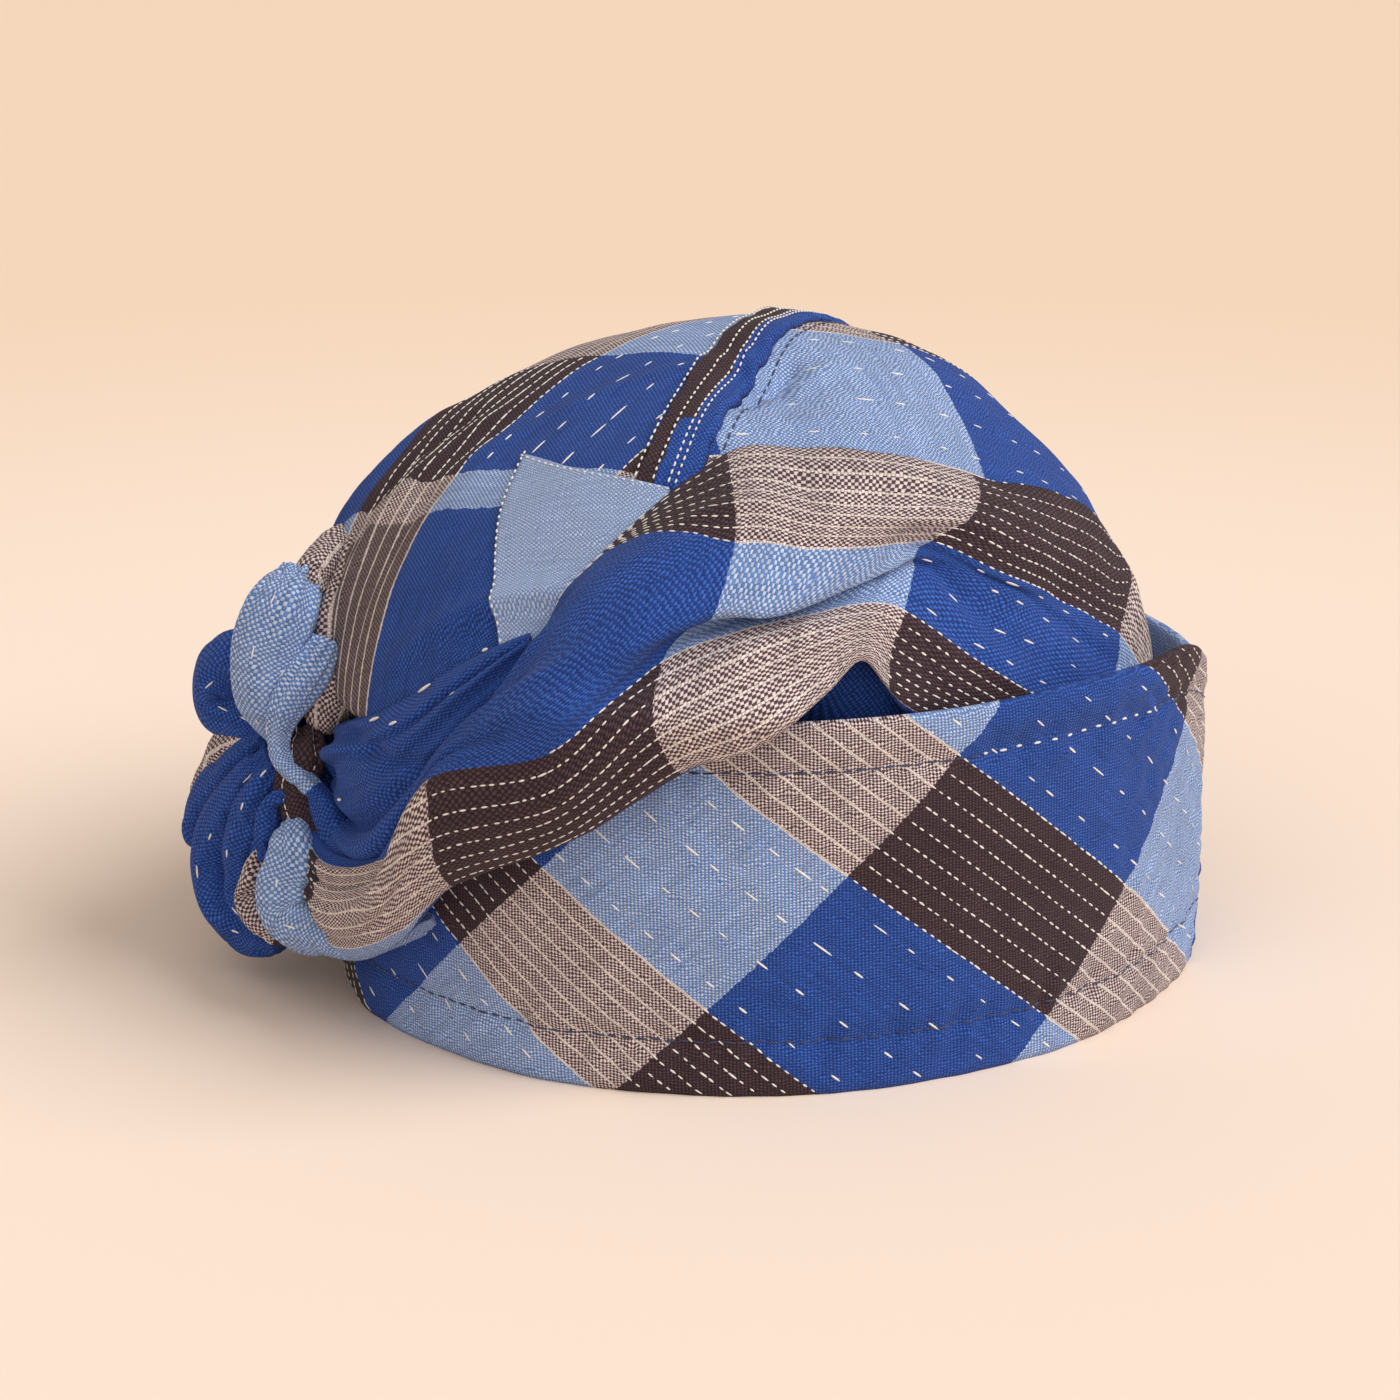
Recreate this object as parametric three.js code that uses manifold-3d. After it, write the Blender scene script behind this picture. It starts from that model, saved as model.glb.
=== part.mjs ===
// Smock hat: a soft round crown in a stiff head band, with a twisted cloth wrap that leaves a
// gathered knot at the front, rolls up the wearer's left side, opens into a flat folded sheet and
// tucks into the band near the back. Millimetres, +Z up, the front of the hat is -Y.
import * as THREE from 'three';
import { mergeVertices } from 'three/addons/utils/BufferGeometryUtils.js';
import Module from 'manifold-3d';

// ---- driving dimensions -------------------------------------------------------------------------
const BAND_HALF_WIDTH = 90;      // outer half-axis across the head
const BAND_HALF_LENGTH = 99;     // outer half-axis front to back: 575 mm round inside
const BAND_WALL = 3;             // folded cloth over a stiffener
const BAND_HEIGHT = 80.5;        // top edge, front and sides
const BACK_DIP = 7.5;            // how much lower the top edge is at the back
const FRONT_DIP = 20;            // and under the knot, where the crown's cloth comes down over it
const FRONT_DIP_ANGLE = -3;
const CENTRE_HEIGHT = 55;        // middle point that every reach, angle and rise is taken from
const CROWN_INSET = 4.5;         // crown inside the band's outline at the middle point's height
const CROWN_LEAN_ANGLE = -30;    // the crown leans toward this angle
const CROWN_FULLER = 6.5;        // how much it is fuller there
const CROWN_SLACKER = 9;         // and how much it falls in on the opposite side
const CROWN_RISE = 86;           // middle point to the top of the crown
const CROWN_WALL = 2;
const CROWN_TUCK = 1;            // the crown stays this far inside the band's wall
const CROWN_HEM_HEIGHT = 46;     // lower edge of the crown, inside the band
const CROWN_CLEAR = 2.5;         // it starts to spill outward this far above the rim
const STRIP_ANGLE = 40;          // the seam runs over the top in this upright plane
const STRIP_SIDES = { left: -7, right: 4.5 };
const STRIP_THICK = 1.6;
const STRIP_ENDS = { front: 44, back: 161 };
const PATCH_THICK = 1.5;
const RIM_BRIDGE = 19;           // height over which the wrap comes in from the band to the crown
const RIM_SINK = 16;
const WRAP_TUCKS = { from: 68, to: 84 };  // angles where the wrap passes from outside to inside
const GAP = 0.35;                // clearance between neighbouring pieces
const BURY = -9;                 // undersides are drawn this deep and then cut to the gap

const BAND_COLUMNS = 72;
const CROWN_COLUMNS = 56;
const CROWN_ROWS = { low: 9, high: 8 };   // below and above SHOULDER_RISE
const SHOULDER_RISE = 26;
const LOBE_SIDES = 12;

// Dents pressed into the crown: angle and rise of the middle, spread in degrees, depth.
const DENTS = [
  { angle: 57, rise: 71, spread: 9, depth: 3.0 },
  { angle: 2, rise: 52, spread: 14, depth: 1.5 },
  { angle: 122, rise: 52, spread: 14, depth: 1.5 },
];

// The wrap, a row for each section from the knot to the tucked end. The columns are its fold lines
// from the upper edge to the lower one, each as [angle, rise, lift over what lies under it].
const WRAP_FOLDS = ['edge', 'crest', 'fold', 'belly', 'valley', 'rise', 'ridge', 'hem', 'tuck'];
const WRAP_SECTIONS = [
  { edge: [-4, -7, 3], crest: [-3, -7, 6], fold: [-2, -8, 9], belly: [-1, -9, 11],
    valley: [0, -10, 13], rise: [0, -12, 14], ridge: [0, -15, 14], hem: [-1, -19, 11],
    tuck: [-2, -21, -2] },
  { edge: [8, -5, 2], crest: [9, -5, 5], fold: [9, -6, 8], belly: [9, -7, 10],
    valley: [9, -8, 12], rise: [9, -10, 14], ridge: [8, -14, 16], hem: [6, -18, 12],
    tuck: [5, -21, -2] },
  { edge: [15, 0, 3], crest: [15, 0, 6], fold: [15, -1, 9], belly: [15, -2, 11],
    valley: [15, -3, 13], rise: [15, -5, 15], ridge: [15, -10, 18], hem: [14, -16, 12],
    tuck: [13, -18, -2] },
  { edge: [23, 14, 3], crest: [24, 14, 8], fold: [24, 13, 12], belly: [23, 12, 14],
    valley: [22, 10, 15], rise: [21, 8, 17], ridge: [22, 1, 20], hem: [21, -8, 13],
    tuck: [19, -12, -2] },
  { edge: [28, 31, 1], crest: [31, 32, 12], fold: [36, 29, 20], belly: [38, 23, 24],
    valley: [37, 17, 23], rise: [35, 12, 21], ridge: [36, 6, 19], hem: [35, -2, 9],
    tuck: [34, -6, -2] },
  { edge: [49, 53, 1], crest: [53, 41, 15], fold: [53, 35, 18], belly: [52, 29, 17],
    valley: [49, 24, 11], rise: [44, 19, 14], ridge: [47, 14, 17], hem: [49, 8, 9],
    tuck: [50, 3, -2] },
  { edge: [82, 54, 1], crest: [74, 40, 14], fold: [72, 35, 13], belly: [72, 33, 8],
    valley: [70, 31, 5], rise: [66, 28, 13], ridge: [64, 22, 17], hem: [62, 17, 9],
    tuck: [62, 13, -2] },
  { edge: [109, 49, 1], crest: [95, 40, 9], fold: [84, 36, 8], belly: [83, 35, 5],
    valley: [82, 33, 3], rise: [79, 27, 8], ridge: [77, 22, 7], hem: [76, 18, 3],
    tuck: [76, 10, -3] },
  { edge: [128, 43, 1], crest: [110, 36, 6], fold: [99, 32, 5], belly: [97, 31, 4],
    valley: [93, 27, 2], rise: [89, 22, 5], ridge: [87, 17, 4], hem: [86, 13, 3],
    tuck: [85, 8, 1] },
  { edge: [141, 36, 1], crest: [121, 31, 4], fold: [110, 28, 3], belly: [107, 26, 3],
    valley: [103, 22, 3], rise: [98, 16, 4], ridge: [97, 12, 3], hem: [96, 9, 2],
    tuck: [95, 6, 1] },
  { edge: [148, 30, 1], crest: [132, 25, 3], fold: [121, 22, 3], belly: [118, 19, 3],
    valley: [114, 15, 4], rise: [111, 11, 3], ridge: [109, 9, 2], hem: [107, 7, 2],
    tuck: [105, 5, 1] },
  { edge: [155, 22, 1], crest: [144, 18, 3], fold: [132, 13, 3], belly: [129, 10, 3],
    valley: [126, 8, 3], rise: [123, 7, 2], ridge: [120, 6, 2], hem: [118, 5, 2],
    tuck: [116, 4, 1] },
  { edge: [161, 8, 1], crest: [152, 6, 2], fold: [144, 4, 2], belly: [140, 3, 2],
    valley: [136, 2, 2], rise: [132, 2, 2], ridge: [128, 1, 2], hem: [125, 1, 1],
    tuck: [122, 1, 1] },
];

// The pleated wedge between knot and roll, a row for each section from the roll to the knot.
const GATHER_FOLDS = ['crease', 'pleat', 'groove', 'swell', 'hem'];
const GATHER_SECTIONS = [
  { crease: [25, 24, 0], pleat: [26, 23, 3], groove: [27, 21, 3], swell: [28, 20, 4], hem: [29, 19, 1] },
  { crease: [16, 18, 0], pleat: [18, 16, 4], groove: [20, 13, 4], swell: [22, 11, 6], hem: [25, 10, 2] },
  { crease: [8, 12, 0], pleat: [10, 9, 5], groove: [13, 6, 4], swell: [16, 3, 7], hem: [20, 1, 2] },
  { crease: [1, 8, 0], pleat: [2, 5, 6], groove: [5, 0, 5], swell: [10, -4, 8], hem: [15, -8, 2] },
  { crease: [-5, 6, 0], pleat: [-4, 3, 7], groove: [-2, -3, 4], swell: [3, -7, 7], hem: [8, -12, 1] },
  { crease: [-10, 4, -2], pleat: [-9, 1, 4], groove: [-8, -3, 3], swell: [-6, -7, 4], hem: [-4, -11, -2] },
];

// The lobes of the knot. Each is a padded fold of cloth along a path, a row for each section:
// angle, rise and lift of its middle, half its width along the hat and half its thickness.
const LOBES = {
  upper_loop: [
    { angle: -23, rise: 20, lift: 1, wide: 10, deep: 3 },
    { angle: -23, rise: 17, lift: 5, wide: 15, deep: 6 },
    { angle: -22, rise: 13, lift: 9, wide: 17, deep: 8 },
    { angle: -20, rise: 8, lift: 10, wide: 15, deep: 9 },
    { angle: -17, rise: 4, lift: 9, wide: 11, deep: 7 },
    { angle: -13, rise: 0, lift: 7, wide: 6, deep: 5 },
  ],
  far_loop: [
    { angle: -21, rise: 2, lift: 8, wide: 5, deep: 4 },
    { angle: -28, rise: 5, lift: 14, wide: 10, deep: 8 },
    { angle: -35, rise: 3, lift: 18, wide: 13, deep: 10 },
    { angle: -36, rise: -3, lift: 17, wide: 12, deep: 9 },
    { angle: -28, rise: -5, lift: 11, wide: 7, deep: 6 },
  ],
  far_strap: [
    { angle: -14, rise: 0, lift: 7, wide: 5, deep: 4 },
    { angle: -20, rise: -3, lift: 14, wide: 8, deep: 6 },
    { angle: -27, rise: -6, lift: 17, wide: 11, deep: 8 },
    { angle: -33, rise: -11, lift: 14, wide: 11, deep: 8 },
    { angle: -36, rise: -16, lift: 6, wide: 7, deep: 5 },
  ],
  lower_far_loop: [
    { angle: -13, rise: -1, lift: 7, wide: 5, deep: 4 },
    { angle: -18, rise: -4, lift: 15, wide: 8, deep: 6 },
    { angle: -24, rise: -9, lift: 19, wide: 11, deep: 9 },
    { angle: -27, rise: -15, lift: 16, wide: 12, deep: 9 },
    { angle: -26, rise: -21, lift: 7, wide: 9, deep: 6 },
  ],
  lower_loop: [
    { angle: -12, rise: -1, lift: 7, wide: 5, deep: 4 },
    { angle: -14, rise: -5, lift: 15, wide: 8, deep: 7 },
    { angle: -16, rise: -10, lift: 20, wide: 10, deep: 10 },
    { angle: -15, rise: -15, lift: 19, wide: 12, deep: 10 },
    { angle: -11, rise: -19, lift: 14, wide: 11, deep: 9 },
    { angle: -6, rise: -20, lift: 8, wide: 7, deep: 6 },
  ],
  near_loop: [
    { angle: -10, rise: -1, lift: 7, wide: 5, deep: 4 },
    { angle: -8, rise: -5, lift: 11, wide: 7, deep: 6 },
    { angle: -7, rise: -10, lift: 14, wide: 9, deep: 8 },
    { angle: -5, rise: -15, lift: 14, wide: 10, deep: 9 },
    { angle: -2, rise: -18, lift: 10, wide: 8, deep: 7 },
  ],
  core: [
    { angle: -14, rise: 8, lift: 2, wide: 6, deep: 3 },
    { angle: -15, rise: 2, lift: 5, wide: 16, deep: 7 },
    { angle: -18, rise: -5, lift: 7, wide: 24, deep: 9 },
    { angle: -17, rise: -11, lift: 7, wide: 22, deep: 9 },
    { angle: -14, rise: -17, lift: 4, wide: 12, deep: 5 },
  ],
};

// The pieced patch on the crown's front right panel: its side edges, a row for each height.
const PATCH_ROWS = [
  { rise: 45, left: 7, right: 37 },
  { rise: 39, left: 11, right: 37 },
  { rise: 32, left: 16, right: 36 },
  { rise: 26, left: 19, right: 33 },
  { rise: 20, left: 22, right: 29 },
];

// ---- small helpers ------------------------------------------------------------------------------
const radians = (degrees) => degrees * Math.PI / 180;
const mix = (from, to, t) => from + (to - from) * t;

function smooth(x, from, to) {
  const t = Math.min(Math.max((x - from) / (to - from), 0), 1);
  return t * t * (3 - 2 * t);
}

function smoothMax(x, y, blend) {
  return (x + y + Math.hypot(x - y, blend)) / 2;
}

// Catmull-Rom value between rows i and i + 1 of a list of number arrays.
function splineRow(rows, position) {
  const last = rows.length - 1;
  const i = Math.min(Math.floor(position), last - 1);
  const t = position - i;
  const before = rows[Math.max(i - 1, 0)];
  const from = rows[i];
  const to = rows[i + 1];
  const after = rows[Math.min(i + 2, last)];
  return from.map((value, k) => {
    const slopeIn = (to[k] - before[k]) / 2;
    const slopeOut = (after[k] - value) / 2;
    const rest = to[k] - value;
    return value + t * (slopeIn + t * (3 * rest - 2 * slopeIn - slopeOut
      + t * (slopeIn + slopeOut - 2 * rest)));
  });
}

// Splined rows, with `steps` steps between one row and the next.
function refine(rows, steps) {
  const count = (rows.length - 1) * steps;
  return Array.from({ length: count + 1 }, (_, n) => splineRow(rows, n / steps));
}

// ---- the hat's surfaces, as reach from the middle point at an angle and a rise -----------------------
// Angle 0 is the front, 90 the wearer's left and 180 the back; rise is up from level. Degrees.
function bandRadius(angle) {
  const across = Math.sin(radians(angle)) / BAND_HALF_WIDTH;
  const along = Math.cos(radians(angle)) / BAND_HALF_LENGTH;
  return 1 / Math.hypot(across, along);
}

function rimHeight(angle) {
  const turned = (from) => (
    Math.abs(THREE.MathUtils.euclideanModulo(angle - from + 180, 360) - 180));
  const back = BACK_DIP * smooth(turned(0), 105, 150);
  const front = FRONT_DIP * (1 - smooth(turned(FRONT_DIP_ANGLE), 14, 40));
  return BAND_HEIGHT - back - front;
}

function crownReach(angle, rise) {
  const lean = Math.cos(radians(angle - CROWN_LEAN_ANGLE));
  const shift = lean > 0 ? CROWN_FULLER * lean : -CROWN_SLACKER * lean * lean;
  const level = bandRadius(angle) - CROWN_INSET + shift;
  const power = 2.06 + 0.16 * lean;
  const cos = Math.abs(Math.cos(radians(rise)));
  const sin = Math.abs(Math.sin(radians(rise)));
  let reach = ((cos / level) ** power + (sin / CROWN_RISE) ** power) ** (-1 / power);
  for (const dent of DENTS) {
    const aside = (angle - dent.angle) * cos;
    const offset = Math.hypot(aside, rise - dent.rise) / dent.spread;
    reach -= dent.depth * Math.exp(-offset * offset);
  }
  if (rise < 35) {
    const height = CENTRE_HEIGHT + reach * Math.sin(radians(rise));
    const over = Math.max(height - rimHeight(angle) - CROWN_CLEAR, 0);
    const limit = (bandRadius(angle) - BAND_WALL - CROWN_TUCK + 1.2 * over) / Math.max(cos, 0.2);
    reach = -smoothMax(-reach, -limit, 1);
  }
  return reach;
}

// What the wrap lies on: the crown above the rim and the band's outside below it, blended over
// the rim. Past WRAP_TUCKS it is the crown alone, because the wrap goes down inside the band there.
function underReach(angle, rise) {
  const crown = crownReach(angle, rise);
  const wall = bandRadius(angle) / Math.max(Math.cos(radians(rise)), 0.2);
  const height = CENTRE_HEIGHT + wall * Math.sin(radians(rise));
  const rim = rimHeight(angle);
  const sunk = wall - RIM_SINK * smooth(height, rim - 1, rim - 1 + RIM_BRIDGE);
  const outside = 1 - smooth(angle, WRAP_TUCKS.from, WRAP_TUCKS.to);
  const share = outside * (1 - smooth(height, rim, rim + RIM_BRIDGE));
  return smoothMax(crown, sunk, 2) * share + crown * (1 - share);
}

function place(angle, rise, reach) {
  const level = reach * Math.cos(radians(rise));
  return new THREE.Vector3(
    level * Math.sin(radians(angle)),
    -level * Math.cos(radians(angle)),
    CENTRE_HEIGHT + reach * Math.sin(radians(rise)),
  );
}

const placeOver = (angle, rise, lift) => place(angle, rise, underReach(angle, rise) + lift);

// ---- meshes from rings of points ----------------------------------------------------------------
function enclosedVolume(points, faces) {
  return faces.reduce((sum, [a, b, c]) => {
    const cross = new THREE.Vector3().crossVectors(points[b], points[c]);
    return sum + points[a].dot(cross) / 6;
  }, 0);
}

// A closed mesh from rings that hold the same number of points. The ends are capped, or the last
// ring joins the first one.
function skin(rings, joined = false) {
  const count = rings[0].length;
  const points = rings.flat();
  const faces = [];
  const steps = joined ? rings.length : rings.length - 1;
  for (let i = 0; i < steps; i += 1) {
    const here = i * count;
    const next = ((i + 1) % rings.length) * count;
    for (let k = 0; k < count; k += 1) {
      const k2 = (k + 1) % count;
      faces.push([here + k, here + k2, next + k2], [here + k, next + k2, next + k]);
    }
  }
  if (!joined) {
    for (const [start, turn] of [[0, 1], [(rings.length - 1) * count, -1]]) {
      const middle = new THREE.Vector3();
      points.slice(start, start + count).forEach((point) => middle.addScaledVector(point, 1 / count));
      points.push(middle);
      for (let k = 0; k < count; k += 1) {
        const pair = [start + ((k + 1) % count), start + k];
        faces.push([points.length - 1, ...(turn > 0 ? pair : pair.reverse())]);
      }
    }
  }
  return geometryOf(points, faces);
}

function geometryOf(points, faces) {
  const outward = enclosedVolume(points, faces) > 0;
  const geometry = new THREE.BufferGeometry();
  const position = points.flatMap((point) => [point.x, point.y, point.z]);
  geometry.setAttribute('position', new THREE.Float32BufferAttribute(position, 3));
  geometry.setIndex(faces.flatMap(([a, b, c]) => (outward ? [a, b, c] : [a, c, b])));
  const merged = mergeVertices(geometry, 1e-4);
  const index = merged.getIndex().array;
  const kept = [];
  for (let i = 0; i < index.length; i += 3) {
    const [a, b, c] = index.slice(i, i + 3);
    if (a !== b && b !== c && a !== c) kept.push(a, b, c);
  }
  merged.setIndex(kept);
  return merged;
}

// ---- joins and cuts ---------------------------------------------------------------------------------
const wasm = await Module();
wasm.setup();

function toSolid(geometry) {
  return new wasm.Manifold(new wasm.Mesh({
    numProp: 3,
    vertProperties: new Float32Array(geometry.getAttribute('position').array),
    triVerts: new Uint32Array(geometry.getIndex().array),
  }));
}

// The largest body of a solid, as a geometry: cuts can leave specks beside it.
function toGeometry(solid) {
  const body = solid.decompose().sort((a, b) => b.volume() - a.volume())[0];
  const mesh = body.getMesh();
  const geometry = new THREE.BufferGeometry();
  geometry.setAttribute('position', new THREE.Float32BufferAttribute(mesh.vertProperties, 3));
  geometry.setIndex(Array.from(mesh.triVerts));
  return geometry;
}

// The same mesh with each point moved out along its normal.
function swollen(geometry, by) {
  const grown = geometry.clone();
  grown.computeVertexNormals();
  const position = grown.getAttribute('position');
  const normal = grown.getAttribute('normal');
  for (let i = 0; i < position.count; i += 1) {
    position.setXYZ(
      i,
      position.getX(i) + by * normal.getX(i),
      position.getY(i) + by * normal.getY(i),
      position.getZ(i) + by * normal.getZ(i),
    );
  }
  grown.deleteAttribute('normal');
  return grown;
}

const turns = (count) => Array.from({ length: count }, (_, n) => 360 * n / count - 180);

// ---- band ---------------------------------------------------------------------------------------
// A ring of points `inset` mm inside the band's outer face, at a height for each angle.
function bandRing(inset, height) {
  return turns(BAND_COLUMNS).map((angle) => {
    const radius = bandRadius(angle) - inset;
    const turn = radians(angle);
    return new THREE.Vector3(radius * Math.sin(turn), -radius * Math.cos(turn), height(angle));
  });
}

function makeBand() {
  const foot = () => 0;
  const shoulder = (angle) => rimHeight(angle) - 1;
  return skin([
    bandRing(0, foot),
    bandRing(0, shoulder),
    bandRing(1, rimHeight),
    bandRing(BAND_WALL - 1, rimHeight),
    bandRing(BAND_WALL, shoulder),
    bandRing(BAND_WALL, foot),
  ], true);
}

// ---- crown --------------------------------------------------------------------------------------
// Rises of the crown's rings from its hem to the top, closer together near the rim.
function crownRises() {
  const { low, high } = CROWN_ROWS;
  const hem = THREE.MathUtils.radToDeg(
    Math.atan2(CROWN_HEM_HEIGHT - CENTRE_HEIGHT, BAND_HALF_WIDTH));
  const below = Array.from({ length: low }, (_, n) => mix(hem, SHOULDER_RISE, n / low));
  const above = Array.from({ length: high + 1 }, (_, n) => mix(SHOULDER_RISE, 90, n / high));
  return [...below, ...above];
}

// The crown's ring of points at a rise, `lift` mm outside its outer face.
function crownRing(rise, lift) {
  return turns(CROWN_COLUMNS).map((angle) => place(angle, rise, crownReach(angle, rise) + lift));
}

function makeCrown() {
  const outside = crownRises().map((rise) => crownRing(rise, 0));
  const inside = crownRises().map((rise) => crownRing(rise, -CROWN_WALL)).reverse();
  return skin([...outside, ...inside], true);
}

// What lies under the wrap, filled in and grown by the gap.
function makeUnder() {
  const dome = skin(crownRises().map((rise) => crownRing(rise, GAP)));
  const drum = skin([
    bandRing(-GAP, () => -GAP),
    bandRing(-GAP, (angle) => rimHeight(angle) - 1 + GAP),
    bandRing(1 - GAP, (angle) => rimHeight(angle) + GAP),
  ]);
  return toSolid(dome).add(toSolid(drum));
}

// ---- pieces laid over the crown, from their fold lines ------------------------------------------------
// Each section is splined across its folds, and closed by an underside that the cut trims off.
function makeFolded(sections, folds, steps) {
  const rows = sections.map((section) => folds.flatMap((name) => section[name]));
  const rings = refine(rows, steps).map((row) => {
    const lines = folds.map((_, k) => row.slice(3 * k, 3 * k + 3));
    const top = refine(lines, 2);
    const first = top[0];
    const last = top[top.length - 1];
    const under = [1, 0.75, 0.5, 0.25, 0].map((t) => (
      [mix(first[0], last[0], t), mix(first[1], last[1], t), BURY]));
    return [...top, ...under].map(([angle, rise, lift]) => placeOver(angle, rise, lift));
  });
  return skin(rings);
}

// ---- knot ---------------------------------------------------------------------------------------
function makeLobe(sections) {
  const rows = refine(sections.map((s) => [s.angle, s.rise, s.lift, s.wide, s.deep]), 2);
  const path = rows.map(([angle, rise, lift]) => placeOver(angle, rise, lift));
  const rings = rows.map(([angle, rise, , wide, deep], i) => {
    const along = new THREE.Vector3().subVectors(
      path[Math.min(i + 1, path.length - 1)],
      path[Math.max(i - 1, 0)],
    ).normalize();
    const out = place(angle, rise, 1).sub(new THREE.Vector3(0, 0, CENTRE_HEIGHT));
    const side = new THREE.Vector3().crossVectors(along, out).normalize();
    const up = new THREE.Vector3().crossVectors(side, along).normalize();
    return Array.from({ length: LOBE_SIDES }, (_, n) => {
      const turn = 2 * Math.PI * n / LOBE_SIDES;
      return path[i].clone()
        .addScaledVector(side, wide * Math.cos(turn))
        .addScaledVector(up, deep * Math.sin(turn));
    });
  });
  return skin(rings);
}

// ---- seam strip and patch -------------------------------------------------------------------------
// The strip runs over the top in one upright plane. `climb` goes on past 90 degrees down the back.
function makeStrip() {
  const along = new THREE.Vector3(
    Math.sin(radians(STRIP_ANGLE)), -Math.cos(radians(STRIP_ANGLE)), 0);
  const aside = new THREE.Vector3(-along.y, along.x, 0);
  const point = (climb, offset, lift) => {
    const outward = along.clone().multiplyScalar(Math.cos(radians(climb)))
      .add(new THREE.Vector3(0, 0, Math.sin(radians(climb))))
      .multiplyScalar(CROWN_RISE)
      .addScaledVector(aside, offset);
    const angle = THREE.MathUtils.radToDeg(Math.atan2(outward.x, -outward.y));
    const rise = THREE.MathUtils.radToDeg(Math.asin(outward.z / outward.length()));
    return place(angle, rise, crownReach(angle, rise) + lift);
  };
  const { left, right } = STRIP_SIDES;
  const middle = (left + right) / 2;
  const steps = 26;
  const rings = Array.from({ length: steps + 1 }, (_, n) => {
    const climb = mix(STRIP_ENDS.front, STRIP_ENDS.back, n / steps);
    return [
      point(climb, left, -1), point(climb, left, STRIP_THICK),
      point(climb, middle, STRIP_THICK), point(climb, right, STRIP_THICK),
      point(climb, right, -1), point(climb, middle, -1),
    ];
  });
  return skin(rings);
}

function makePatch() {
  const rows = refine(PATCH_ROWS.map((row) => [row.rise, row.left, row.right]), 2);
  const shares = [0, 0.2, 0.4, 0.6, 0.8, 1];
  const rings = rows.map(([rise, left, right]) => {
    const line = (share, lift) => place(mix(left, right, share), rise,
      crownReach(mix(left, right, share), rise) + lift);
    const top = shares.map((share) => line(share, PATCH_THICK));
    const under = [...shares].reverse().map((share) => line(share, -1));
    return [...top, ...under];
  });
  return skin(rings);
}

// ---- assembly -----------------------------------------------------------------------------------
const under = makeUnder();
const wrapWhole = makeFolded(WRAP_SECTIONS, WRAP_FOLDS, 3);
const wrap = toGeometry(toSolid(wrapWhole).subtract(under));
const wrapRoom = toSolid(swollen(wrapWhole, GAP));
const lobes = Object.values(LOBES).map((sections) => toSolid(makeLobe(sections)));
const knotWhole = lobes.reduce((joined, lobe) => joined.add(lobe));
const knot = toGeometry(knotWhole.subtract(under).subtract(wrapRoom));
const knotRoom = toSolid(swollen(toGeometry(knotWhole), GAP));
const strip = toGeometry(toSolid(makeStrip()).subtract(under).subtract(wrapRoom));
const stripRoom = toSolid(swollen(strip, GAP));
const patch = toGeometry(toSolid(makePatch())
  .subtract(under).subtract(wrapRoom).subtract(stripRoom));
const patchRoom = toSolid(swollen(patch, GAP));
const gather = toGeometry(toSolid(makeFolded(GATHER_SECTIONS, GATHER_FOLDS, 2))
  .subtract(under).subtract(wrapRoom).subtract(knotRoom).subtract(patchRoom));

const hat = new THREE.Group();

function addPiece(name, geometry, colour) {
  geometry.computeVertexNormals();
  const material = new THREE.MeshStandardMaterial({ color: colour, roughness: 0.92, metalness: 0 });
  const mesh = new THREE.Mesh(geometry, material);
  mesh.name = name;
  hat.add(mesh);
}

const LIGHT_BLUE = 0x7f9fcf;
const BLUE = 0x22408f;
const BROWN = 0x2f2226;
const GREY = 0x8c7f78;

addPiece('band', makeBand(), LIGHT_BLUE);
addPiece('crown', makeCrown(), BLUE);
addPiece('front_wrap', wrap, GREY);
addPiece('seam_strip', strip, BROWN);
addPiece('crown_patch', patch, LIGHT_BLUE);
addPiece('side_gather', gather, BLUE);
addPiece('knot', knot, LIGHT_BLUE);

// The hat's box is centred over the origin and stands on Z = 0.
const box = new THREE.Box3().setFromObject(hat);
const middle = box.getCenter(new THREE.Vector3());
hat.children.forEach((mesh) => mesh.position.set(-middle.x, -middle.y, -box.min.z));

export default hat;
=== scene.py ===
import math
from functools import partialmethod

import bmesh
import bpy
import numpy as np
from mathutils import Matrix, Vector


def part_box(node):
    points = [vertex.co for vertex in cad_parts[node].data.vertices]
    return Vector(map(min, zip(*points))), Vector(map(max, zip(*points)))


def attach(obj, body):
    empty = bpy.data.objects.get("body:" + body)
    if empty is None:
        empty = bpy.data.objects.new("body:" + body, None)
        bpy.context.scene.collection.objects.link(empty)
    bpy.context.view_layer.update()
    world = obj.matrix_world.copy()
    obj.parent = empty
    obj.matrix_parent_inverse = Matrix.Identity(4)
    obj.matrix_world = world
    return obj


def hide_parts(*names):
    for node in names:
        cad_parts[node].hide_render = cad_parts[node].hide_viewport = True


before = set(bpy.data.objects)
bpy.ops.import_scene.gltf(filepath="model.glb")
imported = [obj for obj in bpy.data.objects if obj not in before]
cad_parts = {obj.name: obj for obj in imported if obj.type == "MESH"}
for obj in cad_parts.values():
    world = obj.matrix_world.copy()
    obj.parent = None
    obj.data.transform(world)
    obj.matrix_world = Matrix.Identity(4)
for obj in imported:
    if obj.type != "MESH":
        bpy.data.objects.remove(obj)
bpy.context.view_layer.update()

# ---- band ------------------------------------------------------------------------------------------
# The head band is a strip of the plaid folded double over a stiffener, cut on the bias and joined in a
# ring. Its hems are run in dark blue thread, 12 mm from each edge, and in white where the upper one
# crosses a blue stripe at the wearer's left. The cloth puckers along them.
MM = 0.001
low_corner, high_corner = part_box("band")
HAT_CENTRE = (low_corner + high_corner) / 2
BAND_HALF_WIDTH = (high_corner.x - low_corner.x) / 2 / MM
BAND_HALF_LENGTH = (high_corner.y - low_corner.y) / 2 / MM
BAND_HEIGHT = high_corner.z / MM
BAND_WALL = 3
BAND_COLUMNS = 560
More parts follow.
